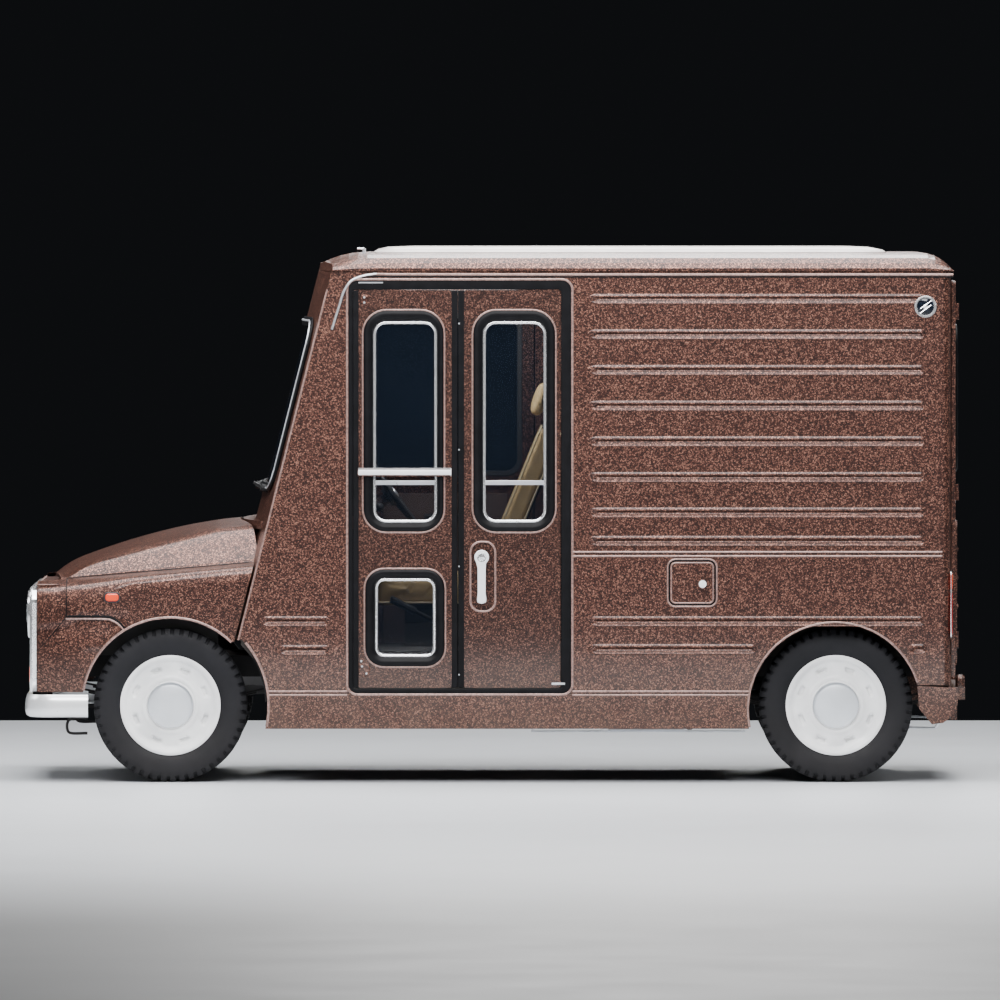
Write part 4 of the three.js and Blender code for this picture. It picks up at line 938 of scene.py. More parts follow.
# ---------------------------------------------------------------- roof
def make_roof():
    """A crowned roof panel whose ends slope down to the roof, with a small aerial base ahead of it."""
    lo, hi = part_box("roof_panel")
    top, low = hi.z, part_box("roof_shell")[1].z - 0.001
    levels = [
        (0.0, low), (0.0, low + 0.006), (0.010, low + 0.014), (0.045, top - 0.0045), (0.120, top - 0.0008),
        (0.300, top),
    ]
    rings = []
    for inset, z in levels:
        along = inset * 1.2
        outline = rounded(
            lo.x + along, hi.x - along, lo.y + inset, hi.y - inset, max(0.02, 0.110 - inset * 0.3), 6,
        )
        rings.append([(x, y, z) for x, y in outline])
    panel = add("roof_panel_skin", ROOF_WHITE, skinned(rings), angle=40)
    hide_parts("roof_panel")
    post = rod((-0.546, -0.60, 2.205), (-0.546, -0.60, 2.2455), 0.007)
    arm = rod((-0.575, -0.60, 2.2435), (-0.546, -0.60, 2.2435), 0.0045)
    foot = turned(
        [(0.022, 0), (0.020, 0.006), (0.010, 0.010), (0, 0.010)], (-0.546, -0.60, 2.214), "z", 24, 1,
    )
    add("aerial_base", BRIGHT, post, arm, foot)


# ---------------------------------------------------------------- bonnet, wings and nose
AXLE = Vector((-1.360, 0, 0.323))
EDGE_LINE = [
    (-1.862, 0.800), (-1.807, 0.845), (-1.745, 0.893), (-1.674, 0.925), (-1.450, 0.988), (-1.364, 1.010),
    (-1.160, 1.062), (-0.960, 1.080),
]


def along(line, x):
    """The height of a polyline (x, z) at x, held at its ends."""
    if x <= line[0][0]:
        return line[0][1]
    for (x0, z0), (x1, z1) in zip(line, line[1:]):
        if x <= x1:
            return z0 + (z1 - z0) * (x - x0) / (x1 - x0)
    return line[-1][1]


def crease_z(x):
    return 0.926 + 0.0899 * (x + 1.010)


def crease_y(x):
    return 0.700 - 0.14 * max(0, -1.100 - x) ** 2


def crown_z(x):
    return 1.098 - 0.268 * max(0, -0.985 - x) ** 1.746 - 2.2 * max(0, -1.760 - x) ** 2


def rake_x(z, y=0.845):
    """Where the cab's raked front stands at a height, bowed forward towards the middle."""
    return -1.073 + 0.2541 * (z - 0.596) - 0.066 * (1 - (y / 0.845) ** 2)


def shell_grid(rows, shift):
    """A closed thin shell: rows of points and the same rows moved by shift, joined round the border."""
    m, n = len(rows[0]), len(rows)
    low = [tuple(Vector(p) + Vector(shift)) for row in rows for p in row]
    verts = [tuple(p) for row in rows for p in row] + low
    k = n * m
    faces = []
    for i in range(n - 1):
        for j in range(m - 1):
            a = i * m + j
            quad = (a, a + 1, a + m + 1, a + m)
            faces += [quad, tuple(k + q for q in reversed(quad))]
    border = [j for j in range(m)] + [i * m + m - 1 for i in range(1, n)]
    border += [(n - 1) * m + j for j in range(m - 2, -1, -1)] + [i * m for i in range(n - 2, 0, -1)]
    faces += [(b, a, k + a, k + b) for a, b in zip(border, border[1:] + border[:1])]
    return verts, faces


def hood_section(x):
    """Half a bonnet cross-section from its side crease to the middle, as (y, z)."""
    y0, z0 = crease_y(x) - 0.003, crease_z(x)
    top = max(crown_z(x), z0 + 0.004)
    edge = min(max(along(EDGE_LINE, x), z0 + 0.002), top)
    width = max(0.004, (edge - z0) * 0.80)
    knots = [
        (y0, z0), (y0 - 0.34 * width, z0 + 0.40 * (edge - z0)), (y0 - 0.72 * width, z0 + 0.80 * (edge - z0)),
    ]
    knots += [(y0 - 1.05 * width - 0.01, edge), (y0 - width - 0.09, edge + 0.40 * (top - edge))]
    knots += [(y0 * 0.52, edge + 0.78 * (top - edge)), (y0 * 0.25, edge + 0.97 * (top - edge)), (0, top)]
    return smooth_path(knots, 5)


def make_hood():
    rows = []
    count = 30
    for i in range(count + 1):
        t = i / count
        half = []
        for y, z in hood_section(-0.99 - 0.87 * t):
            u = abs(y) / 0.700
            rear = -0.985 - 0.090 * (1 - u ** 2) - 0.002
            x = rear + (-1.862 + 0.050 * u ** 2 - rear) * t
            half.append((x, y))
        section = [hood_section(x) for x, _ in half]
        points = [(x, section[j][j][0], section[j][j][1]) for j, (x, _) in enumerate(half)]
        rows.append([(x, -y, z) for x, y, z in points] + [(x, y, z) for x, y, z in reversed(points[:-1])])
    skin = add("hood_skin", PAINT, shell_grid(rows, (0, 0, -0.012)), body="hood", angle=50)
    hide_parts("hood")
    make_hood_frame()
    for side in (LEFT, RIGHT):
        xs = [-1.02 - 0.78 * i / 24 for i in range(25)]
        line = [Vector((x, side * (crease_y(x) + 0.0005), crease_z(x) - 0.001)) for x in xs]
        seam = bead(
            line, [Vector((0, side, 0.3)).normalized()] * len(line),
            [(-0.003, 0), (0.003, 0), (0.003, -0.006), (-0.003, -0.006)],
        )
        add(f"bonnet_seal_{SIDE_NAME[side]}", RUBBER, seam)


def hood_underside(x, y):
    """The bonnet's inner face at x and y."""
    section = hood_section(x)
    for (y0, z0), (y1, z1) in zip(section, section[1:]):
        if y1 <= abs(y) <= y0:
            return Vector((x, y, z0 + (z1 - z0) * (y0 - abs(y)) / max(y0 - y1, 1e-6) - 0.012))
    return Vector((x, y, section[-1][1] - 0.012))


def make_hood_frame():
    """Pressed stiffening ribs and a lock striker under the bonnet."""
    lines = [[(-1.10 - 0.70 * i / 12, y) for i in range(13)] for y in (-0.34, 0.34)]
    lines += [[(x, -0.50 + 1.00 * i / 16) for i in range(17)] for x in (-1.20, -1.74)]
    lines += [[(-1.20 - 0.54 * i / 12, s * (0.34 - 0.34 * i / 12)) for i in range(13)] for s in (LEFT, RIGHT)]
    ribs = []
    for line in lines:
        points = [hood_underside(x, y) for x, y in line]
        ribs.append(bead(points, [Vector((0, 0, -1))] * len(points), half_round(0.050, 0.013, 6)))
    add("hood_ribs", PAINT, *ribs, body="hood", angle=50)
    low = hood_underside(-1.80, 0).z
    loop = smooth_path(
        [(-0.022, low), (-0.020, low - 0.020), (0, low - 0.026), (0.020, low - 0.020), (0.022, low)], 5,
    )
    striker = sweep(loop, half_round(0.008, 0.006), lambda y, z, v: (-1.800 - v, y, z), False)
    add("hood_striker", BRIGHT, striker, body="hood")


def make_engine_parts():
    """What sits on the engine: cover bolts, oil cap, plug leads, air cleaner lid, hoses, header tank and battery."""
    bolts = [
        bolt_head(x, y, 0.850, "z", 1, 0.010, 0.008) for x in (-1.62, -1.52, -1.42, -1.32, -1.24)
        for y in (-0.070, 0.070)
    ]
    bolts += [
        bolt_head(y, z, -1.690, "x", -1, 0.009, 0.007) for y in (-0.12, 0.12) for z in (0.50, 0.62, 0.74)
    ]
    add("engine_bolts", BLACK_STEEL, *bolts)
    filler = turned(
        [(0, 0.026), (0.020, 0.026), (0.025, 0.022), (0.026, 0), (0.018, 0), (0.018, -0.004), (0, -0.004)],
        (-1.585, 0, 0.852), "z", 24, 1,
    )
    add("oil_filler_cap", BLACK_STEEL, filler)
    lid = turned(
        [
            (0, 0.010), (0.085, 0.010), (0.100, 0.006), (0.108, -0.002), (0.108, -0.014), (0.100, -0.016),
            (0, -0.016),
        ], (-1.440, -0.170, 0.874), "z", 40, 1,
    )
    add("air_cleaner_lid", BLACK_STEEL, lid)
    nut = joined(
        rod((-1.440, -0.170, 0.880), (-1.440, -0.170, 0.898), 0.004),
        rod((-1.455, -0.170, 0.890), (-1.425, -0.170, 0.890), 0.003),
        rod((-1.440, -0.170, 0.884), (-1.440, -0.170, 0.888), 0.009),
    )
    add("air_cleaner_nut", BRIGHT, nut)
    leads = []
    for x in (-1.60, -1.48, -1.36, -1.25):
        path = [
            Vector(p)
            for p in (
                (x, 0.150, 0.70), (x, 0.172, 0.72), (x, 0.170, 0.78), ((x - 1.42) / 2, 0.140, 0.835),
                (-1.42, 0.115, 0.862),
            )
        ]
        leads.append(tube(path, 0.0045))
        leads.append(rod((x, 0.148, 0.70), (x, 0.172, 0.715), 0.009))
    leads.append(
        turned(
            [(0, 0.030), (0.020, 0.030), (0.026, 0.020), (0.028, -0.020), (0, -0.020)], (-1.42, 0.112, 0.850),
            "z", 24, 1,
        )
    )
    add("plug_leads", RUBBER, *leads, slot="black_rubber")
    tank = prism(rounded(-0.300, 0.300, 0.770, 0.812, 0.012), "x", -1.840, -1.895)
    add("radiator_tank", BLACK_STEEL, tank, bevel=0.008)
    hoses = [
        tube(
            [
                Vector(p)
                for p in (
                    (-1.845, -0.22, 0.785), (-1.800, -0.22, 0.790), (-1.740, -0.12, 0.785),
                    (-1.690, -0.05, 0.760), (-1.685, -0.04, 0.752),
                )
            ], 0.020,
        ),
        tube(
            [
                Vector(p)
                for p in (
                    (-1.890, 0.24, 0.560), (-1.800, 0.24, 0.555), (-1.740, 0.16, 0.530),
                    (-1.690, 0.07, 0.520),
                )
            ], 0.020,
        ),
    ]
    add("radiator_hoses", RUBBER, *hoses, slot="black_rubber")
    battery = slab_box(-1.290, -1.120, 0.255, 0.420, 0.566, 0.740)
    add("battery", MOULDED, battery, bevel=0.006)
    posts = [
        turned([(0, 0.020), (0.010, 0.019), (0.012, 0), (0, 0)], (x, 0.295, 0.740), "z", 16, 1)
        for x in (-1.26, -1.15)
    ]
    posts += [slab_box(-1.300, -1.110, 0.352, 0.370, 0.740, 0.746)]
    add("battery_posts", BRIGHT, *posts)
    tray = slab_box(-1.305, -1.105, 0.245, 0.430, 0.558, 0.566)
    add("battery_tray", BLACK_STEEL, tray)


def wing_y(x):
    return 0.792 - 0.42 * max(0, -1.560 - x) ** 2


def wing_section(x, side):
    """A wing cross-section: a ledge below the crease, a shoulder that softens forwards, and the outer face."""
    y0, z0, y1 = crease_y(x) + 0.002, crease_z(x) - 0.002, wing_y(x)
    soft = 0.035 + 0.10 * min(1, max(0, (-1.52 - x) / 0.30))
    bottom = 0.378
    if abs(x - AXLE.x) < 0.366:
        bottom = max(bottom, AXLE.z + math.sqrt(0.366 ** 2 - (x - AXLE.x) ** 2))
    if x > AXLE.x:
        bottom = max(bottom, 0.592)
    tuck = 0.016 * min(1, max(0, (-1.55 - x) / 0.06))
    knots = [
        (y0, z0), (y0 + 0.45 * (y1 - y0), z0 - 0.004 - 0.10 * soft),
        (y0 + 0.80 * (y1 - y0), z0 - 0.008 - 0.30 * soft),
    ]
    knots += [(y1 - 0.006, z0 - 0.012 - 0.75 * soft), (y1 - 0.001, z0 - 0.02 - 1.2 * soft)]
    path = smooth_path(knots, 6)
    low = path[-1][1]
    count = 16
    for i in range(1, count + 1):
        z = low + (bottom - low) * i / count
        y = y1 - tuck * min(1, max(0, (z - 0.600) / 0.09)) * (
            1 if z < 0.694 else max(0, 1 - (z - 0.694) / 0.004)
        )
        y -= 0.012 * min(1, max(0, (0.560 - z) / 0.18)) ** 2
        path.append(Vector((y, z)))
    return [(side * y, z) for y, z in path]


def make_wing(side, name):
    rows, count = [], 64
    for i in range(count + 1):
        t = i / count
        row = []
        flat = -1.038 + (-1.921 + 1.038) * t
        size = len(wing_section(flat, side))
        for j in range(size):
            x = flat
            for _ in range(4):
                y, z = wing_section(x, side)[j]
                rear = rake_x(z, 0.80) - 0.010
                x = rear + (-1.921 - rear) * t
            row.append((x, y, z))
        rows.append(row)
    skin = add(f"wing_skin_{name}", PAINT, shell_grid(rows, (0, -side * 0.013, 0)), angle=50)
    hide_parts(f"front_fender_{name}")


def make_wings():
    for side, name in SIDES:
        make_wing(side, name)
        arch = [
            (AXLE.x + 0.371 * math.cos(math.radians(a)), AXLE.z + 0.371 * math.sin(math.radians(a)))
            for a in range(46, 173, 4)
        ]
        flange = sweep(
            arch, half_round(0.011, 0.004), lambda x, z, v, s=side: (x, s * (wing_y(x) + v - 0.001), z), False
        )
        add(f"wing_arch_flange_{name}", PAINTED_HIGHLIGHT, flange)
        seam = smooth_path(
            [(-1.800, 0.6965), (-1.640, 0.6965), (-1.600, 0.688), (-1.572, 0.670), (-1.553, 0.648)], 6,
        )
        on_wing = lambda x, z, v, s=side: (x, s * (wing_y(x) + v - 0.002), z)
        groove = sweep(seam, half_round(0.011, 0.0030), on_wing, False)
        add(f"wing_corner_seam_{name}", RUBBER, groove)
        lip = sweep([(x, z - 0.0095) for x, z in seam], half_round(0.008, 0.0030), on_wing, False)
        add(f"wing_corner_lip_{name}", PAINTED_HIGHLIGHT, lip)
        line = [Vector((-1.798, y, z)) for y, z in wing_section(-1.798, side) if z > 0.699]
        away = [
            Vector((0, side * abs(q.z - p.z), abs(q.y - p.y))).normalized() for p, q in zip(line, line[1:])
        ]
        upright = bead(line, away + away[-1:], half_round(0.0045, 0.0028))
        low = [(-1.799, 0.694), (-1.835, 0.648), (-1.880, 0.595), (-1.918, 0.553)]
        joints = joined(upright, sweep(low, half_round(0.0045, 0.0028), on_wing, False))
        add(f"nose_seam_{name}", RUBBER, joints)
        marker = prism(rounded(-1.632, -1.577, 0.762, 0.794, 0.013), "y", side * 0.786, side * 0.8005)
        add(f"wing_marker_{name}", AMBER, marker, bevel=0.005)
        base = prism(rounded(-1.638, -1.571, 0.756, 0.800, 0.015), "y", side * 0.784, side * 0.7935)
        add(f"wing_marker_base_{name}", MOULDED, base, bevel=0.002)
        angles = [math.radians(a) for a in range(2, 158, 6)]
        band = [
            (AXLE.x + r * math.cos(a), AXLE.z + r * math.sin(a)) for r, order in ((0.400, 1), (0.404, -1))
            for a in angles[::order]
        ]
        liner = prism(band, "y", side * 0.560, side * 0.774)
        add(f"wing_liner_{name}", BLACK_STEEL, liner, angle=30)
        edge = [Vector((rake_x(z) - 0.001, side * 0.8445, z)) for z in [0.60 + 0.0775 * i for i in range(20)]]
        out = Vector((-0.45, side, 0)).normalized()
        post = bead(edge, [out] * len(edge), half_round(0.008, 0.004))
        add(f"pillar_edge_{name}", PAINTED_HIGHLIGHT, post)


def make_front():
    """Headlamp rims and reflectors, indicators, the chrome of the nose, the radiator core and a bead along the
    nose's edge.
    """
    for side, name in SIDES:
        centre = (-1.945, side * 0.545, 0.701)
        rim = turned_ring(
            [(0.103, 0), (0.104, 0.010), (0.098, 0.019), (0.091, 0.019), (0.088, 0.010), (0.088, 0)], centre,
            "x", 56, -1,
        )
        add(f"headlamp_rim_{name}", CHROME, rim)
        bowl = turned(
            [
                (0, -0.070), (0.020, -0.068), (0.045, -0.058), (0.070, -0.032), (0.0860, 0.003),
                (0.0873, 0.000), (0.084, -0.030), (0.060, -0.072), (0.030, -0.096), (0, -0.099),
            ], centre, "x", 48, -1,
        )
        bowl = add(f"headlamp_bowl_{name}", BRIGHT, bowl, angle=50)
        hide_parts(f"headlamp_{name}")
        bulb = turned(
            [(0, -0.024), (0.010, -0.025), (0.014, -0.030), (0.014, -0.052), (0.008, -0.068), (0, -0.069)],
            centre, "x", 24, -1,
        )
        add(f"headlamp_bulb_{name}", CHROME, bulb)
        glass = turned(
            [
                (0, 0.0285), (0.030, 0.0272), (0.055, 0.0225), (0.075, 0.0145), (0.0872, 0.0060),
                (0.0872, 0.0032), (0.074, 0.0110), (0.054, 0.0190), (0.030, 0.0237), (0, 0.0250),
            ], centre, "x", 48, -1,
        )
        add(f"headlamp_glass_{name}", LAMP_GLASS, glass, angle=60)
        ribs = [
            rod(
                (centre[0] - 0.011, centre[1] + dy, 0.701 - h),
                (centre[0] - 0.011, centre[1] + dy, 0.701 + h), 0.0020, 8,
            )
            for dy, h in (
                (-0.054, 0.044), (-0.036, 0.058), (-0.018, 0.067), (0, 0.070), (0.018, 0.067), (0.036, 0.058),
                (0.054, 0.044),
            )
        ]
        add(f"headlamp_flutes_{name}", LENS, *ribs)
        lens = prism(
            rounded(side * 0.640 - 0.022, side * 0.640 + 0.022, 0.416, 0.483, 0.018), "x", -1.944, -1.957,
        )
        add(f"front_indicator_{name}", AMBER, lens, bevel=0.004)
        base = prism(
            rounded(side * 0.640 - 0.027, side * 0.640 + 0.027, 0.410, 0.489, 0.021), "x", -1.942, -1.950,
        )
        add(f"front_indicator_rim_{name}", CHROME, base, bevel=0.002)
    surround = sweep(
        rounded(-0.690, 0.690, 0.376, 0.812, 0.060), half_round(0.016, 0.010), on_plane("x", -1.944, -1),
    )
    add("grille_surround", CHROME, surround)
    bars = [
        sweep([(-0.412, z), (0.412, z)], half_round(0.013, 0.010), on_plane("x", -1.944, -1), False)
        for z in (0.567, 0.614, 0.661, 0.708, 0.755)
    ]
    add("grille_bar_caps", CHROME, *bars)
    mesh_back = prism(rounded(-0.640, 0.640, 0.530, 0.792, 0.02), "x", -1.899, -1.903)
    add("radiator_core", MOULDED, mesh_back)
    lip = bead(
        [
            Vector((x, y, 0.8275))
            for x, y in smooth_path(
                [
                    (-1.800, -0.700), (-1.880, -0.694), (-1.917, -0.660), (-1.924, -0.58), (-1.924, 0),
                    (-1.924, 0.58), (-1.917, 0.660), (-1.880, 0.694), (-1.800, 0.700),
                ], 5,
            )
        ], [Vector((0, 0, 1))] * 41, half_round(0.010, 0.004),
    )
    add("nose_edge", PAINTED_HIGHLIGHT, lip)


def make_bumper():
    """A chrome bumper with a rounded face that leans back at the top, and a plate on its middle."""
    plan = smooth_path(
        [
            (-1.706, -0.797), (-1.800, -0.798), (-1.885, -0.792), (-1.938, -0.757), (-1.963, -0.690),
            (-1.974, -0.5), (-1.977, -0.25), (-1.978, 0.0),
        ], 6,
    )
    plan = [tuple(p) for p in plan]
    plan += [(x, -y) for x, y in reversed(plan[:-1])]
    section = [
        (-0.024, 0.366), (-0.010, 0.368), (-0.002, 0.358), (0.003, 0.340), (0.005, 0.318), (0.0055, 0.298),
        (0.001, 0.280), (-0.008, 0.2735), (-0.024, 0.2735), (-0.024, 0.279), (-0.010, 0.281), (-0.004, 0.292),
        (-0.001, 0.318), (-0.006, 0.344), (-0.012, 0.359), (-0.024, 0.360),
    ]
    blade = sweep(plan, [(-u, z) for u, z in section], lambda a, b, z: (a, b, z), False)
    bumper = add("front_bumper_blade", PLATED, blade, angle=50)
    irons = [
        slab_box(-1.976, -1.892, s * 0.330 - 0.020, s * 0.330 + 0.020, 0.293, 0.350) for s in (LEFT, RIGHT)
    ]
    irons += [
        slab_box(-1.915, -1.892, s * 0.330 - 0.020, s * 0.330 + 0.020, 0.293, 0.497) for s in (LEFT, RIGHT)
    ]
    add("front_bumper_irons", BLACK_STEEL, *irons, bevel=0.002)
    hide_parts("front_bumper")
    plate = prism(rounded(-0.165, 0.165, 0.374, 0.484, 0.010), "x", -1.966, -1.971)
    add("front_plate", YELLOW, plate, bevel=0.001)
    bracket = prism(rounded(-0.152, 0.152, 0.380, 0.478, 0.008), "x", -1.943, -1.966)
    add("front_plate_bracket", MOULDED, bracket, bevel=0.002)
    loops = []
    for side in (LEFT, RIGHT):
        path = smooth_path(
            [
                (-1.712, 0.266), (-1.764, 0.266), (-1.794, 0.252), (-1.797, 0.217), (-1.780, 0.201),
                (-1.712, 0.201),
            ], 5,
        )
        loops.append(sweep(path, half_round(0.012, 0.014), on_side(side, 0.640), False))
    add("tow_loops", BLACK_STEEL, *loops)


def make_windscreen():
    """The windscreen's rubber, following the bowed and raked front, with its wipers' blades."""
    level = lambda a, b, v: (rake_x(b, a) - 0.006 - v, a, b)
    outer, inner = rounded(
        -0.742, 0.742, 1.220, 1.955, 0.118, 12,
    ), rounded(-0.706, 0.706, 1.256, 1.919, 0.090, 12)
    dense = lambda loop: [
        tuple(p) for a, b in zip(loop, loop[1:] + loop[:1])
        for p in (Vector(a).lerp(Vector(b), k / 6) for k in range(6))
    ]
    ring = ring_between(
        dense(outer), dense(inner),
        [(0, 0), (0.1, 0.007), (0.4, 0.011), (0.7, 0.011), (1, 0.005), (1, -0.006)], level,
    )
    add("windscreen_rubber", RUBBER, ring, angle=50)
    bright = sweep(
        dense(rounded(-0.727, 0.727, 1.235, 1.940, 0.106, 12)),
        [(u, v + 0.010) for u, v in half_round(0.009, 0.004)], level,
    )
    add("windscreen_bright_bead", BRIGHT, bright)
    for side, name in SIDES:
        lo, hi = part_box(f"wiper_{name}")
        z = (lo.z + hi.z) / 2
        ys = [lo.y + 0.03 + (hi.y - lo.y - 0.06) * i / 12 for i in range(13)]
        spine = [Vector((rake_x(z, y) - 0.0245, y, z + 0.013)) for y in ys]
        blade = bead(
            spine, [Vector((-0.97, 0, 0.25))] * 13,
            [(-0.004, 0), (0.004, 0), (0.003, -0.006), (-0.003, -0.006)],
        )
        add(f"wiper_rubber_{name}", RUBBER, blade, body=f"wiper_{name}", slot="black_rubber")


# ---------------------------------------------------------------- the rear
def make_rear():
    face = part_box("rear_door_left")[1].x
    for side in (LEFT, RIGHT):
        name, body = SIDE_NAME[side], f"rear_door_{SIDE_NAME[side]}"
        y0, y1 = sorted((side * 0.154, side * 0.636))
        hole = (y0, y1, 1.330, 1.900, 0.055)
        at = on_plane("x", face, 1)
        rubber = ring_between(
            around(hole, 0.026), around(hole, -0.010),
            [
                (0, -0.002), (0, 0.003), (0.25, 0.007), (0.55, 0.007), (0.85, 0.002), (1, -0.004),
                (1, -0.006), (0.9, -0.006),
            ], at,
        )
        add(f"rear_window_rubber_{name}", RUBBER, rubber, body=body, angle=50)
        pane = prism(around(hole, -0.002), "x", face - 0.0065, face - 0.0025)
        add(f"rear_window_pane_{name}", GLASS_PAINTED_DARK, pane, body=body)
        rails = [
            sweep([(side * 0.035, z), (side * 0.755, z)], half_round(0.020, 0.006), at, False)
            for z in (0.62, 0.74, 0.86, 0.98)
        ]
        add(f"rear_door_ribs_{name}", PAINT, *rails, body=body)
        hinges = []
        for z in (0.60, 1.22, 1.98):
            hinges.append(
                prism(
                    rounded(*sorted((side * 0.700, side * 0.780)), z - 0.028, z + 0.028, 0.010), "x",
                    face - 0.001, face + 0.003,
                )
            )
            hinges.append(
                rod((face - 0.001, side * 0.786, z - 0.034), (face - 0.001, side * 0.786, z + 0.034), 0.007)
            )
        add(f"rear_door_hinges_{name}", PAINT, *hinges, body=body, bevel=0.001)
        screws = [
            bolt_head(side * dy, z + dz, face + 0.003, "x", 1, 0.005, 0.003) for z in (0.60, 1.22, 1.98)
            for dy in (0.716, 0.752) for dz in (-0.015, 0.015)
        ]
        add(f"rear_door_hinge_bolts_{name}", BLACK_STEEL, *screws, body=body)
        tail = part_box(f"body_side_{name}")[1].x
        lamp = prism(
            rounded(*sorted((side * 0.797, side * 0.838)), 0.620, 0.800, 0.016), "x", tail - 0.002,
            tail + 0.007,
        )
        add(f"tail_lamp_{name}", RED, lamp, bevel=0.003)
        signal = prism(
            rounded(*sorted((side * 0.797, side * 0.838)), 0.812, 0.880, 0.016), "x", tail - 0.002,
            tail + 0.007,
        )
        add(f"rear_indicator_{name}", AMBER, signal, bevel=0.003)
        frame_ring = sweep(
            rounded(*sorted((side * 0.795, side * 0.840)), 0.612, 0.888, 0.018), half_round(0.005, 0.004),
            on_plane("x", tail, 1),
        )
        add(f"tail_lamp_rim_{name}", CHROME, frame_ring)
        rider = prism(rounded(*sorted((side * 0.672, side * 0.728)), 0.352, 0.450, 0.020), "x", 1.945, 1.9835)
        add(f"rear_overrider_{name}", PAINT, rider, bevel=0.010)
    plate = prism(rounded(0.040, 0.100, 1.120, 1.240, 0.012), "x", face - 0.001, face + 0.0035)
    add("rear_handle_plate", CHROME, plate, body="rear_door_right", bevel=0.001)
    lo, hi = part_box("rear_door_handle")
    z = (lo.z + hi.z) / 2
    grip = rod((hi.x - 0.011, lo.y + 0.006, z), (hi.x - 0.011, hi.y - 0.006, z), 0.0085, 20)
    add("rear_handle_grip", CHROME, grip, body="rear_handle")
    plate = prism(rounded(-0.360, -0.030, 0.486, 0.590, 0.010), "x", face - 0.001, face + 0.004)
    add("rear_plate", YELLOW, plate, body="rear_door_left", bevel=0.001)
    header = slab_box(1.890, 1.9215, -0.800, 0.800, 2.085, 2.156)
    add("rear_header", PAINT, header, bevel=0.004)
    valance = slab_box(1.9115, 1.9215, -0.826, 0.826, 0.335, 0.540)
    add("rear_valance", PAINT, valance, bevel=0.003)
    meeting = slab_box(face - 0.004, face + 0.003, -0.0028, 0.0028, 0.440, 2.100)
    add("rear_door_meeting_seal", RUBBER, meeting, body="rear_door_left", slot="black_rubber")


# ---------------------------------------------------------------- driver's side fittings
def make_driver_door():
    bar = smooth_path([(-0.030, 0.862), (0.0, 0.8655), (0.050, 0.8665), (0.100, 0.8655), (0.130, 0.862)], 6)
    grip = bead(
        [Vector((x, y, 1.013)) for x, y in bar], [Vector((0, 1, 0))] * len(bar),
        half_round(0.020, 0.006, 6, 0.004),
    )
    add("driver_handle_cap", CHROME, grip, body="driver_door")
    hinges = [
        rod((-0.6075, SIDE + 0.002, z - 0.045), (-0.6075, SIDE + 0.002, z + 0.045), 0.009)
        for z in (0.62, 1.15, 1.95)
    ]
    add("driver_door_hinges", PAINT, *hinges, bevel=0.001)
    lock = turned([(0, 0.006), (0.010, 0.005), (0.014, 0.0), (0, 0.0)], (0.050, LEAF, 0.950), "y", 24, 1)
    add("driver_door_lock", CHROME, lock, body="driver_door")
    inside = slab_box(-0.480, 0.060, 0.806, 0.815, 0.520, 1.180)
    add("driver_door_card", TRIM, inside, body="driver_door", bevel=0.004)
    strap = sweep(
        [
            (-0.300, 0.0), (-0.060, 0.0),
        ], half_round(0.024, 0.014), lambda a, b, v: (a, 0.806 - v, 1.080 + b), False
    )
    add("driver_door_pull", MOULDED, strap, body="driver_door")


# ---------------------------------------------------------------- cab
def make_steering_wheel():
    """A thin rim with finger grips on three spokes, turned about the column."""
    axis = Vector((0.812, 0, 0.584)).normalized()
    centre = Vector((-0.430, 0.380, 1.190))
    side = Vector((0, 1, 0))
    up = axis.cross(side)
    point = lambda r, t, h=0.0: centre + axis * h + r * (math.cos(t) * side + math.sin(t) * up)
    n, m = 96, 14
    verts = []
    for i in range(n):
        t = 2 * math.pi * i / n
        out = (point(1, t) - centre).normalized()
        for j in range(m):
            a = 2 * math.pi * j / m
            grip = 0.0008 * (math.cos(16 * t) if math.sin(a) < 0.3 else 0)
            verts.append(
                tuple(
                    centre + out * (
                        0.188 + (0.0118 + grip) * math.cos(a)
                    ) + axis * (0.0118 + grip) * math.sin(a)
                )
            )
    faces = strip_faces(n, m, True)
    spokes = [
        rod(point(0.03, t, -0.018), point(0.184, t, 0), 0.0075)
        for t in (math.radians(a) for a in (-90, 30, 150))
    ]
    hub = turned(
        [(0, 0.010), (0.030, 0.009), (0.046, 0.002), (0.050, -0.012), (0.040, -0.036), (0, -0.036)],
        (0, 0, 0), "z", 36,
    )
    spin = Vector((0, 0, 1)).rotation_difference(axis).to_matrix()
    hub = ([tuple(centre + spin @ Vector(v)) for v in hub[0]], hub[1])
    wheel = add(
        "steering_wheel_rim", MOULDED, (verts, faces), *spokes, hub, body="steering_wheel",
        slot="black_rubber", angle=50,
    )
    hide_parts("steering_wheel")
    cap = turned(
        [(0, 0.016), (0.014, 0.0155), (0.024, 0.012), (0.026, 0.008), (0, 0.008)], (0, 0, 0), "z", 32,
    )
    cap = ([tuple(centre + spin @ Vector(v)) for v in cap[0]], cap[1])
    add("horn_button", BRIGHT, cap, body="steering_wheel")


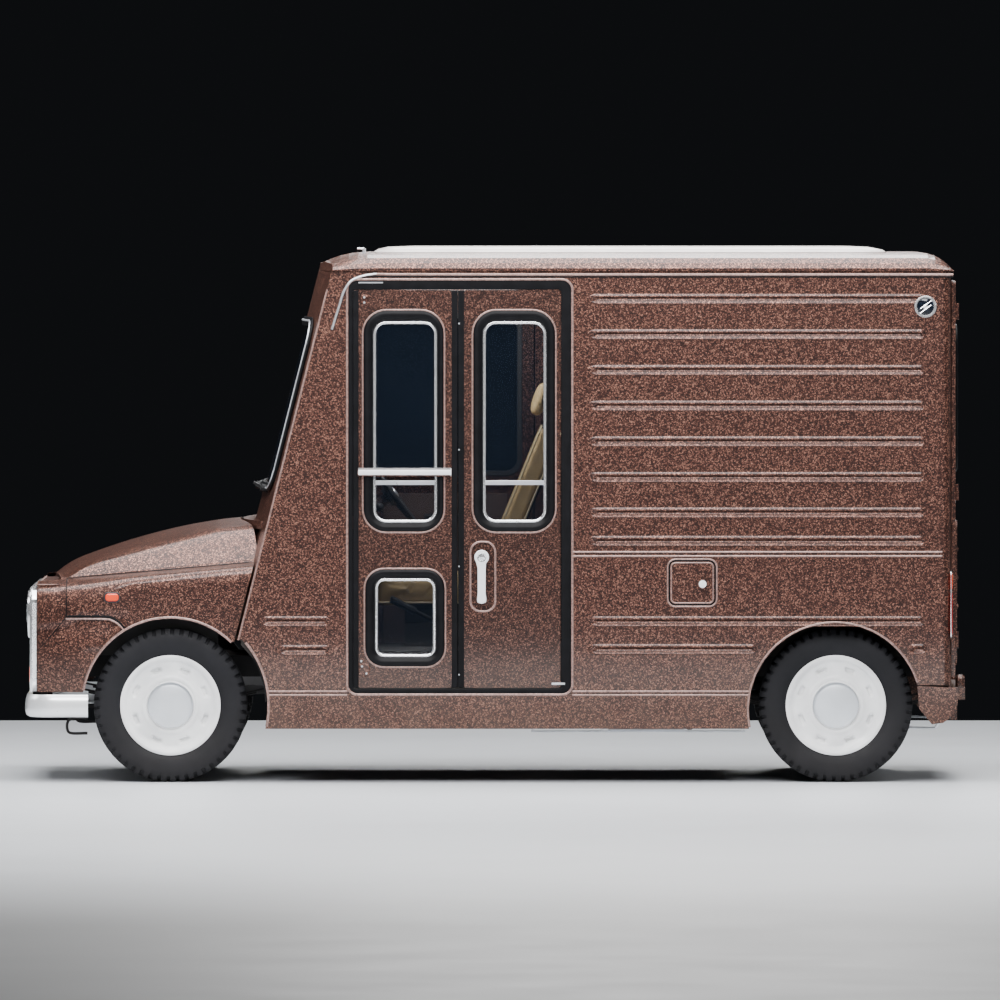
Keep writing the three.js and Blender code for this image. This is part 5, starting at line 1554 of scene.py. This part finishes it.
def make_dashboard():
    dials, rims = [], []
    for y, z, r, dial, proud in (
        (0.325, 1.138, 0.044, 0.78, 0.0015), (0.435, 1.138, 0.044, 0.78, 0.0015),
        (0.380, 1.112, 0.016, 1, 0.001),
    ):
        face = [(0, proud), (r * dial, proud), (r * dial, -0.002), (0, -0.002)]
        dials.append(turned(face, (-0.755, y, z), "x", 32, 1))
        rim = [
            (r * 0.78, -0.001), (r * 0.80, 0.004), (r * 0.88, 0.005), (r * 0.93, 0.001), (r * 0.93, -0.001),
        ]
        rims.append(turned_ring(rim, (-0.755, y, z), "x", 32, 1))
    add("gauge_faces", MOULDED, *dials)
    add("gauge_rims", CHROME, *rims)
    needles = [rod((-0.7525, y, 1.138), (-0.7525, y + 0.018, 1.158), 0.0012, 6) for y in (0.325, 0.435)]
    add("gauge_needles", AMBER, *needles)
    box_lid = prism(rounded(-0.620, -0.240, 1.045, 1.085, 0.008), "x", -0.766, -0.761)
    add("glove_box_lid", TRIM, box_lid, bevel=0.001)
    knobs = [
        turned(
            [(0, 0.020), (0.008, 0.019), (0.009, 0.010), (0.004, 0.007), (0.004, 0), (0, 0)],
            (-0.766, y, 1.062), "x", 16, 1,
        ) for y in (-0.12, -0.04, 0.04, 0.12, 0.56, 0.62)
    ]
    add("dash_knobs", MOULDED, *knobs)


def make_pedals():
    for name in ("clutch_pedal", "brake_pedal", "accelerator_pedal"):
        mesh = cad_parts[name].data
        low = min((v.co for v in mesh.vertices), key=lambda p: p.z)
        foot = [v.co for v in mesh.vertices if v.co.z < low.z + 0.09]
        y0, y1 = min(p.y for p in foot), max(p.y for p in foot)
        x1 = max(p.x for p in foot)
        z = low.z
        strips = [
            slab_box(x1 - 0.012, x1 + 0.0045, y0 + 0.004, y1 - 0.004, z + dz, z + dz + 0.007)
            for dz in (0.010, 0.022, 0.034, 0.046)
        ]
        add(f"{name}_rubber", RUBBER, *strips, body=name, slot="black_rubber", bevel=0.0015)
    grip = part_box("handbrake_lever")
    top = max((v.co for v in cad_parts["handbrake_lever"].data.vertices), key=lambda p: p.z)
    knob = turned(
        [(0, 0.010), (0.008, 0.008), (0.012, 0.0), (0.008, -0.008), (0, -0.010)],
        (top.x, (grip[0].y + grip[1].y) / 2, top.z - 0.012), "z", 20,
    )
    add("handbrake_knob", MOULDED, knob, body="handbrake")


def cushion(name, body, corner_lo, corner_hi, turn=0.0, about=(0, 0)):
    """A stuffed pad: a box remeshed, blown up as cloth, capped in its box, then smoothed."""
    lo, hi = Vector(corner_lo), Vector(corner_hi)
    mesh = bpy.data.meshes.new(name)
    inner_lo, inner_hi = lo + Vector((0.006,) * 3), hi - Vector((0.006,) * 3)
    pts = [
        (x, y, z) for z in (inner_lo.z, inner_hi.z) for y in (inner_lo.y, inner_hi.y)
        for x in (inner_lo.x, inner_hi.x)
    ]
    mesh.from_pydata(
        pts, [], [(0, 2, 3, 1), (4, 5, 7, 6), (0, 1, 5, 4), (2, 6, 7, 3), (0, 4, 6, 2), (1, 3, 7, 5)],
    )
    pad = bpy.data.objects.new(name, mesh)
    SCENE.collection.objects.link(pad)
    bpy.context.view_layer.objects.active = pad
    for other in bpy.context.selected_objects:
        other.select_set(False)
    pad.select_set(True)
    bevel = pad.modifiers.new("bevel", "BEVEL")
    bevel.width, bevel.segments = 0.022, 3
    bpy.ops.object.modifier_apply(modifier="bevel")
    remesh = pad.modifiers.new("remesh", "REMESH")
    remesh.mode, remesh.voxel_size = "VOXEL", 0.006
    bpy.ops.object.modifier_apply(modifier="remesh")
    blow_up(pad, lo, hi)
    turned_mesh = Matrix.Rotation(turn, 4, "Y")
    pivot = Vector((about[0], 0, about[1]))
    for v in pad.data.vertices:
        v.co = pivot + turned_mesh @ (v.co - pivot)
    pad.data.materials.append(VINYL)
    pad.data.polygons.foreach_set("use_smooth", [True] * len(pad.data.polygons))
    smooth = pad.modifiers.new("smooth", "SUBSURF")
    smooth.levels = smooth.render_levels = 1
    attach(pad, body)


PAD_LIMIT = 0.012


def blow_up(pad, lo, hi):
    """A cloth pressed outward from inside; no vertex moves further than PAD_LIMIT or leaves the box."""
    rest = [v.co.copy() for v in pad.data.vertices]
    cloth = pad.modifiers.new("cloth", "CLOTH")
    cloth.settings.use_pressure = True
    cloth.settings.uniform_pressure_force = 4.0
    cloth.settings.effector_weights.gravity = 0.0
    cloth.settings.tension_stiffness = cloth.settings.compression_stiffness = 25.0
    cloth.settings.bending_stiffness = 2.0
    cloth.settings.quality = 5
    for number in range(1, 21):
        SCENE.frame_set(number)
    bpy.ops.object.modifier_apply(modifier="cloth")
    SCENE.frame_set(1)
    for v, at in zip(pad.data.vertices, rest):
        move = v.co - at
        if move.length > PAD_LIMIT:
            move *= PAD_LIMIT / move.length
        v.co = at + move
        v.co = Vector((min(max(v.co[k], lo[k]), hi[k]) for k in range(3)))


def make_seat():
    """Seat cushion, backrest and head pad as stuffed pads with piping, on a black pressed frame."""
    body = "driver_seat"
    cushion("seat_cushion", body, (-0.505, 0.155, 0.715), (0.045, 0.605, 0.853))
    slope = math.atan(0.412)
    foot = (-0.060, 0.850)
    cushion("seat_backrest", body, (-0.060, 0.160, 0.865), (0.036, 0.600, 1.540), slope, foot)
    cushion("seat_head_pad", body, (-0.092, 0.265, 1.560), (-0.030, 0.495, 1.715), slope * 0.86, foot)
    shell = slab_box(-0.385, -0.010, 0.190, 0.570, 0.700, 0.722)
    runners = [slab_box(-0.380, -0.020, y, y + 0.030, 0.641, 0.703) for y in (0.200, 0.530)]
    tilt = Matrix.Rotation(slope, 4, "Y")
    pivot = Vector((foot[0], 0, foot[1]))
    lean = lambda solid: ([tuple(pivot + tilt @ (Vector(v) - pivot)) for v in solid[0]], solid[1])
    stays = [lean(slab_box(0.034, 0.042, 0.190 + dy, 0.215 + dy, 0.86, 1.500)) for dy in (0, 0.355)]
    stays += [lean(slab_box(-0.022, -0.012, 0.330 + dy, 0.342 + dy, 1.510, 1.640)) for dy in (0, 0.088)]
    frame_piece = add("seat_frame", BLACK_STEEL, shell, *runners, *stays, body=body, bevel=0.002)
    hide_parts("driver_seat")
    pipes = []
    for z in (0.840, 0.728):
        loop = rounded(-0.499, 0.039, 0.161, 0.599, 0.030, 6)
        pipes.append(sweep(loop, circle(0, 0, 0.004, 8), lambda a, b, v, z=z: (a, b, z + v)))
    loop = rounded(0.166, 0.594, 0.871, 1.534, 0.030, 6)
    for x in (-0.054, 0.030):
        pipes.append(lean(sweep(loop, circle(0, 0, 0.004, 8), lambda a, b, v, x=x: (x + v, a, b))))
    for i in range(1, 6):
        z = 0.865 + i * 0.112
        pipes.append(
            lean(
                sweep(
                    [(0.175, z), (0.585, z)], circle(0, 0, 0.003, 6), lambda a, b, v: (
                        -0.060 + v + 0.002, a, b,
                    ), False
                )
            )
        )
    add("seat_piping", CREAM, *pipes, body=body)


# ---------------------------------------------------------------- running gear
def leaf_pack(x, half, eye, seat, count, side, name):
    """A pack of separate leaves of falling length, clamped in the middle, with rolled eyes."""
    y0, y1 = sorted((side * 0.302, side * 0.358))
    solids = []
    for k in range(count):
        reach = half * (1 - 0.17 * k)
        drop = 0.0080 * k
        arc = lambda u: seat + 0.034 + (eye - seat - 0.034) * (u / half) ** 2
        us = [-reach + 2 * reach * i / 16 for i in range(17)]
        top = [(x + u, arc(u) - drop) for u in us]
        low = [(x + u, arc(u) - drop - 0.0070) for u in reversed(us)]
        solids.append(prism(top + low, "y", y0 + 0.0005 * k, y1 - 0.0005 * k))
    for u in (-half, half):
        solids.append(rod((x + u, y0, eye), (x + u, y1, eye), 0.019, 20))
    return add(f"{name}_leaves_{SIDE_NAME[side]}", BLACK_STEEL, *solids)


def make_springs():
    for end, x, eye, seat, axle in (
        ("front", -1.360, 0.392, 0.302, "front_axle"), ("rear", 1.440, 0.350, 0.256, "rear_axle"),
    ):
        for side in (LEFT, RIGHT):
            name = f"{end}_spring"
            pack = leaf_pack(x, 0.430, eye, seat, 5, side, name)
            pack.parent = None
            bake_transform(pack)
            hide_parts(f"{end}_leaf_spring_{SIDE_NAME[side]}")


def make_hubs():
    """Brake drums, turning with the wheels."""
    for end in ("front", "rear"):
        for side, name in SIDES:
            centre = middle_of(f"{end}_tyre_{name}")
            drum = turned(
                [
                    (0.070, 0.028), (0.136, 0.026), (0.142, 0.018), (0.142, -0.030), (0.134, -0.036),
                    (0.070, -0.036), (0.070, 0.028),
                ], centre, "y", 48, side,
            )
            add(f"{end}_brake_drum_{name}", CAST, drum, body=f"{end}_wheel_{name}")


def make_underbody():
    """Pipes and straps hung below the sills, and the tank's guard tube."""
    for side in (LEFT, RIGHT):
        name, y = SIDE_NAME[side], side * 0.720
        tubes = [
            rod((0.160, y, 0.212), (1.060, y, 0.212), 0.0035, 10),
            rod((0.480, y, 0.219), (0.800, y, 0.219), 0.0035, 10),
        ]
        tubes += [rod((x, y, 0.210), (x + 0.020, y, 0.250), 0.0035, 10) for x in (0.160, 0.450, 0.800, 1.040)]
        tubes += [rod((x, y, 0.250), (x, side * 0.350, 0.432), 0.0045, 10) for x in (0.180, 1.060)]
        rear = [(1.700, 0.300), (1.740, 0.224), (1.862, 0.222), (1.880, 0.248)]
        tubes += [
            rod((a, side * 0.620, b), (c, side * 0.620, d), 0.005, 10)
            for (a, b), (c, d) in zip(rear, rear[1:])
        ]
        tubes.append(rod((1.700, side * 0.620, 0.300), (1.700, side * 0.350, 0.432), 0.005, 10))
        add(f"underbody_pipes_{name}", BRIGHT, *tubes)


# ---------------------------------------------------------------- stage and light
def make_stage():
    """A pale floor that ends behind the truck, soft lamps above and around, and a low card for the sills."""
    mesh = bpy.data.meshes.new("studio_floor")
    reach, back, level = 60, 6.0, -0.0005
    corners = [(-reach, -reach, level), (reach, -reach, level), (reach, back, level), (-reach, back, level)]
    mesh.from_pydata(corners, [], [(0, 1, 2, 3)])
    ground = bpy.data.objects.new("studio_floor", mesh)
    SCENE.collection.objects.link(ground)
    pale = Finish("studio_floor", (0.56, 0.58, 0.61), 0.42)
    pale.tone(0.8, 0.02).uneven(2, 0.05)
    mesh.materials.append(pale.mat)
    world = bpy.data.worlds.new("studio")
    world.use_nodes = True
    world.node_tree.nodes["Background"].inputs["Color"].default_value = (0.006, 0.0065, 0.0075, 1)
    world.node_tree.nodes["Background"].inputs["Strength"].default_value = 1.0
    SCENE.world = world
    lamps = [
        ("top_softbox", (0.0, -0.9, 5.0), (0, -0.3, 1.0), 7.5, 4.2, 1050),
        ("side_softbox", (-0.5, -7.8, 6.2), (0, 0, 0.6), 7.0, 2.6, 1060),
        ("low_card", (0.0, -11.0, 0.10), (0, 0, 0.10), 10.0, 0.19, 50),
        ("front_softbox", (-8.0, 1.0, 4.6), (-1.0, 0, 0.9), 3.0, 2.4, 160),
        ("rear_softbox", (8.0, 0.5, 4.4), (1.0, 0, 1.1), 2.6, 2.6, 180),
        ("far_softbox", (1.0, 9.0, 6.0), (0, 0, 1.0), 4.0, 2.6, 400),
        ("cab_lamp", (-0.15, 0.0, 2.09), (-0.15, 0.3, 1.0), 0.5, 0.4, 16),
    ]
    for name, where, target, width, height, power in lamps:
        data = bpy.data.lights.new(name, "AREA")
        data.shape = "RECTANGLE"
        data.size, data.size_y = width, height
        data.energy = power
        lamp = bpy.data.objects.new(name, data)
        lamp.visible_camera = False
        lamp.location = where
        lamp.rotation_euler = (Vector(target) - Vector(where)).to_track_quat("-Z", "Y").to_euler()
        SCENE.collection.objects.link(lamp)
    # The low card lights the truck only: the floor is spared its glare.
    spared = bpy.data.collections.new("low_card_spares")
    spared.objects.link(ground)
    bpy.data.objects["low_card"].light_linking.receiver_collection = spared
    spared.collection_objects[0].light_linking.link_state = "EXCLUDE"


STEPS = (
    dress_nodes, make_wheels, make_sides, make_seals, make_windows, make_guard_rail, make_kerb_handle,
    make_door_fittings, make_side_lamps, make_fuel_flap, make_roof, make_hood, make_engine_parts, make_wings,
    make_front, make_bumper, make_windscreen, make_rear, make_driver_door, make_steering_wheel,
    make_dashboard, make_pedals, make_seat, make_springs, make_hubs, make_underbody, make_stage,
)
for step in STEPS:
    step()
